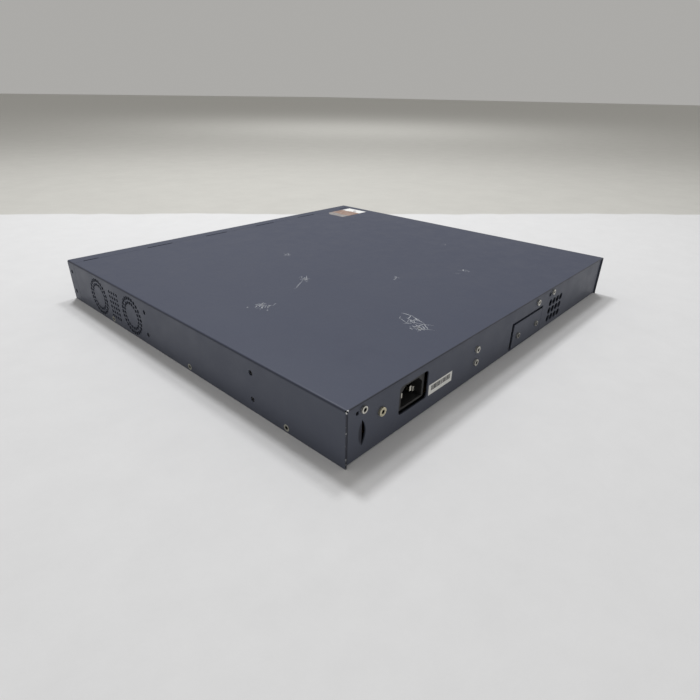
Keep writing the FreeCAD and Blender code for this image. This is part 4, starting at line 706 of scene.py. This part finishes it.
class SWITCH_OT_add_scuffs(bpy.types.Operator):
    """Adds the scuffs and the long scratches on the cover"""

    bl_idname = "switch.add_scuffs"
    bl_label = "Add Scuffs"

    def execute(self, context):
        wear = context.scene.switch_wear
        dice = random.Random(wear.seed)
        level = FRAME_BOX[1].z - SCRATCH_DEPTH
        widest = wear.scratch_width

        def stroke(shape, x, y, heading, length, width):
            points, widths = [], []
            for step in range(SCRATCH_STEPS + 1):
                share = step / SCRATCH_STEPS - 0.5
                heading_here = heading + share * dice.uniform(-0.25, 0.25)
                points.append(Vector((x + math.cos(heading_here) * share * length,
                                      y + math.sin(heading_here) * share * length, level)))
                widths.append(width * max(1 - (2 * share) ** 2, 0.12))
            add_ribbon(shape, points, widths)

        def all_strokes(shape):
            for x, y, radius, count, heading in SCUFFS:
                for _ in range(count):
                    away = abs(dice.gauss(0, 0.42)) * radius * MM
                    around = dice.uniform(0, 2 * math.pi)
                    lean = math.radians(heading) + dice.gauss(0, 0.7)
                    stroke(shape, x * MM + math.cos(around) * away, y * MM + math.sin(around) * away, lean,
                           dice.uniform(0.15, 0.65) * radius * MM, widest * dice.uniform(0.25, 1.0))
            for x1, y1, x2, y2, share in STROKES:
                stroke(shape, (x1 + x2) / 2 * MM, (y1 + y2) / 2 * MM, math.atan2(y2 - y1, x2 - x1),
                       math.hypot(x2 - x1, y2 - y1) * MM, widest * share)

        new_piece("cover_scratches", all_strokes, scratch_mark(wear))
        return {"FINISHED"}


# ---------------------------------------------------------------- labels

class SWITCH_OT_add_labels(bpy.types.Operator):
    """Finishes the sticker and the rear label and prints the label's plain bars"""

    bl_idname = "switch.add_labels"
    bl_label = "Add Labels"

    def execute(self, context):
        labels = context.scene.switch_labels
        coat_node(label_paper(labels), "rear_label")
        coat_node(worn_sticker(labels), "top_sticker")
        low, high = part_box("rear_label")
        dice = random.Random(LABEL_SEED)
        face = high.y + INK_THICKNESS

        def bars(shape):
            x = low.x + 2.6 * MM
            pitch = (high.x - low.x - 5.2 * MM) / labels.bar_count
            for _ in range(labels.bar_count):
                wide = pitch * dice.choice((0.5, 0.65, 0.85))
                corners = [(x, low.z + 3.2 * MM), (x + wide, low.z + 3.2 * MM), (x + wide, high.z - 1.3 * MM),
                           (x, high.z - 1.3 * MM)]
                shape.faces.new([shape.verts.new((a, face, b)) for a, b in reversed(corners)])
                x += pitch

        new_piece("label_bars", bars, printed_ink(labels))
        return {"FINISHED"}


# ---------------------------------------------------------------- ports

class SWITCH_OT_add_jack_contacts(bpy.types.Operator):
    """Adds the sprung contact wires in front of each jack's carrier"""

    bl_idname = "switch.add_jack_contacts"
    bl_label = "Add Jack Contacts"

    def execute(self, context):
        gold = metal("contact_wire", (0.88, 0.64, 0.26), 0.2)

        def wires(shape):
            for low, high in islands("jack_contacts"):
                upper = high.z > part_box("jack_contacts")[0].z + 3 * MM
                pitch = (high.x - low.x) / WIRES_PER_JACK
                for index in range(WIRES_PER_JACK):
                    x = low.x + (index + 0.5) * pitch
                    level, dip = (low.z, high.z + 2.2 * MM) if upper else (high.z, low.z - 2.2 * MM)
                    start, back = low.y - 5.5 * MM, low.y + 1.0 * MM
                    middle = (low.z + high.z) / 2
                    path = [Vector((x, back, middle)), Vector((x, low.y - 1 * MM, middle)),
                            Vector((x, (start + low.y) / 2, (level + dip) / 2)), Vector((x, start, level))]
                    add_tube(shape, path, WIRE_RADIUS)

        smooth(new_piece("jack_contact_wires", wires, gold))
        return {"FINISHED"}


# ---------------------------------------------------------------- boards

class SWITCH_OT_add_board_parts(bpy.types.Operator):
    """Scatters small chips, resistors and capacitors over the free parts of the main board"""

    bl_idname = "switch.add_board_parts"
    bl_label = "Add Board Parts"

    KEEP_CLEAR = ("jack_block_first", "jack_block_second", "transceiver_cage", "console_jack",
                  "button_switch", "lamp_stack", "switch_heat_sink", "processor_heat_sink",
                  "expansion_connector", "slot_frame", "power_connectors", "fan_plugs", "board_screws",
                  "port_magnetics", "port_chips", "memory_chips", "power_coils", "board_capacitors")

    def execute(self, context):
        board = context.scene.switch_board
        low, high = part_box("main_board")
        notch_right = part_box("supply_partition")[0].x - 6 * MM
        wide_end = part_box("supply_board")[0].y - 8 * MM
        taken = [pair for node in self.KEEP_CLEAR for pair in islands(node)]
        dice = random.Random(PARTS_SEED)

        def free(x, y, room):
            inside = low.x + room < x < high.x - room and low.y + room < y < high.y - room
            if x > notch_right - room and y > wide_end - room:
                return False
            return inside and all(x < a.x - room or x > b.x + room or y < a.y - room or y > b.y + room
                                  for a, b in taken)

        places = []
        tries = 0
        while len(places) < board.chip_count:
            tries += 1
            if tries > PART_TRIES + 20 * board.chip_count:
                raise RuntimeError("the board has no room for that many small parts")
            x, y = dice.uniform(low.x, high.x), dice.uniform(low.y, high.y)
            wide, deep = dice.choice(((2.0, 1.2), (1.2, 2.0), (3.2, 1.6), (5.0, 4.0), (1.6, 0.8)))
            if free(x, y, PART_SPACING):
                places.append((x, y, wide * MM, deep * MM))
                taken.append((Vector((x - wide * MM / 2, y - deep * MM / 2, 0)),
                              Vector((x + wide * MM / 2, y + deep * MM / 2, 0))))

        def bodies(shape):
            for x, y, wide, deep in places:
                add_block(shape, (x - wide * 0.36, y - deep / 2, high.z),
                          (x + wide * 0.36, y + deep / 2, high.z + min(wide, deep) * 0.5), 0.08 * MM)

        def ends(shape):
            for x, y, wide, deep in places:
                for side in (-1, 1):
                    middle = x + side * wide * 0.42
                    top = high.z + min(wide, deep) * 0.46
                    add_block(shape, (middle - wide * 0.08, y - deep * 0.52, high.z),
                              (middle + wide * 0.08, y + deep * 0.52, top), 0.05 * MM)

        resin = moulded("small_part_resin", (0.05, 0.045, 0.04), 0.5)
        new_piece("small_part_bodies", bodies, resin)
        new_piece("small_part_ends", ends, metal("solder", (0.66, 0.66, 0.64), 0.3))
        return {"FINISHED"}


# ---------------------------------------------------------------- stage

class SWITCH_OT_set_stage(bpy.types.Operator):
    """Lays the pale floor and sets the soft lights and the camera"""

    bl_idname = "switch.set_stage"
    bl_label = "Set Stage"

    def execute(self, context):
        stage = context.scene.switch_stage
        mesh = bpy.data.meshes.new("floor")
        shape = bmesh.new()
        bmesh.ops.create_grid(shape, x_segments=8, y_segments=8, size=FLOOR_HALF_SIZE)
        shape.to_mesh(mesh)
        shape.free()
        floor = bpy.data.objects.new("floor", mesh)
        context.scene.collection.objects.link(floor)
        mesh.materials.append(floor_sheet(stage))
        world = bpy.data.worlds.new("studio")
        world.use_nodes = True
        background = world.node_tree.nodes["Background"]
        background.inputs["Color"].default_value = SKY_COLOUR
        background.inputs["Strength"].default_value = stage.sky
        context.scene.world = world
        context.scene.view_settings.view_transform = "Standard"
        for name, place, aim, size, share in LAMPS:
            lamp(context, name, place, aim, size, stage.key_power * share)
        camera = bpy.data.cameras.new("camera")
        camera.sensor_width = CAMERA_SENSOR
        camera.lens = CAMERA_LENS
        camera.clip_start = 0.01
        eye = bpy.data.objects.new("camera", camera)
        context.scene.collection.objects.link(eye)
        turn = Matrix((CAMERA_RIGHT, -CAMERA_DOWN, -CAMERA_AHEAD)).transposed()
        eye.matrix_world = Matrix.Translation(CAMERA_PLACE) @ turn.to_4x4()
        context.scene.camera = eye
        return {"FINISHED"}


def lamp(context, name, place, aim, size, power):
    """A square, faintly cool lamp aimed at a point."""
    light = bpy.data.lights.new(name, "AREA")
    light.shape = "SQUARE"
    light.size = size
    light.energy = power
    light.color = LAMP_COLOUR
    fitting = bpy.data.objects.new(name, light)
    fitting.location = place
    fitting.rotation_euler = (Vector(aim) - Vector(place)).to_track_quat("-Z", "Y").to_euler()
    context.scene.collection.objects.link(fitting)


# ---------------------------------------------------------------- panel

STEPS = (
    SWITCH_OT_paint_case, SWITCH_OT_finish_metalwork, SWITCH_OT_finish_mouldings, SWITCH_OT_finish_boards,
    SWITCH_OT_add_scuffs, SWITCH_OT_add_labels, SWITCH_OT_add_jack_contacts, SWITCH_OT_add_board_parts,
    SWITCH_OT_set_stage,
)
GROUPS = {
    "switch_paint": CasePaintSettings,
    "switch_wear": WearSettings,
    "switch_labels": LabelSettings,
    "switch_board": BoardSettings,
    "switch_stage": StageSettings,
}


class SWITCH_PT_sidebar(bpy.types.Panel):
    """The switch's settings and the steps that build its look"""

    bl_idname = "SWITCH_PT_sidebar"
    bl_label = "Network Switch"
    bl_space_type = "VIEW_3D"
    bl_region_type = "UI"
    bl_category = "Switch"

    def draw(self, context):
        for group in GROUPS:
            settings = getattr(context.scene, group)
            section = self.layout.box()
            for setting in settings.bl_rna.properties:
                if setting.identifier not in {"rna_type", "name"}:
                    section.prop(settings, setting.identifier)
        for step in STEPS:
            self.layout.operator(step.bl_idname)


CLASSES = tuple(GROUPS.values()) + STEPS + (SWITCH_PT_sidebar,)


def register():
    for item in CLASSES:
        bpy.utils.register_class(item)
    for name, group in GROUPS.items():
        setattr(bpy.types.Scene, name, bpy.props.PointerProperty(type=group))


def unregister():
    for name in GROUPS:
        delattr(bpy.types.Scene, name)
    for item in reversed(CLASSES):
        bpy.utils.unregister_class(item)


def main():
    register()
    for step in STEPS:
        group, name = step.bl_idname.split(".")
        getattr(getattr(bpy.ops, group), name)()


if __name__ == "__main__":
    main()
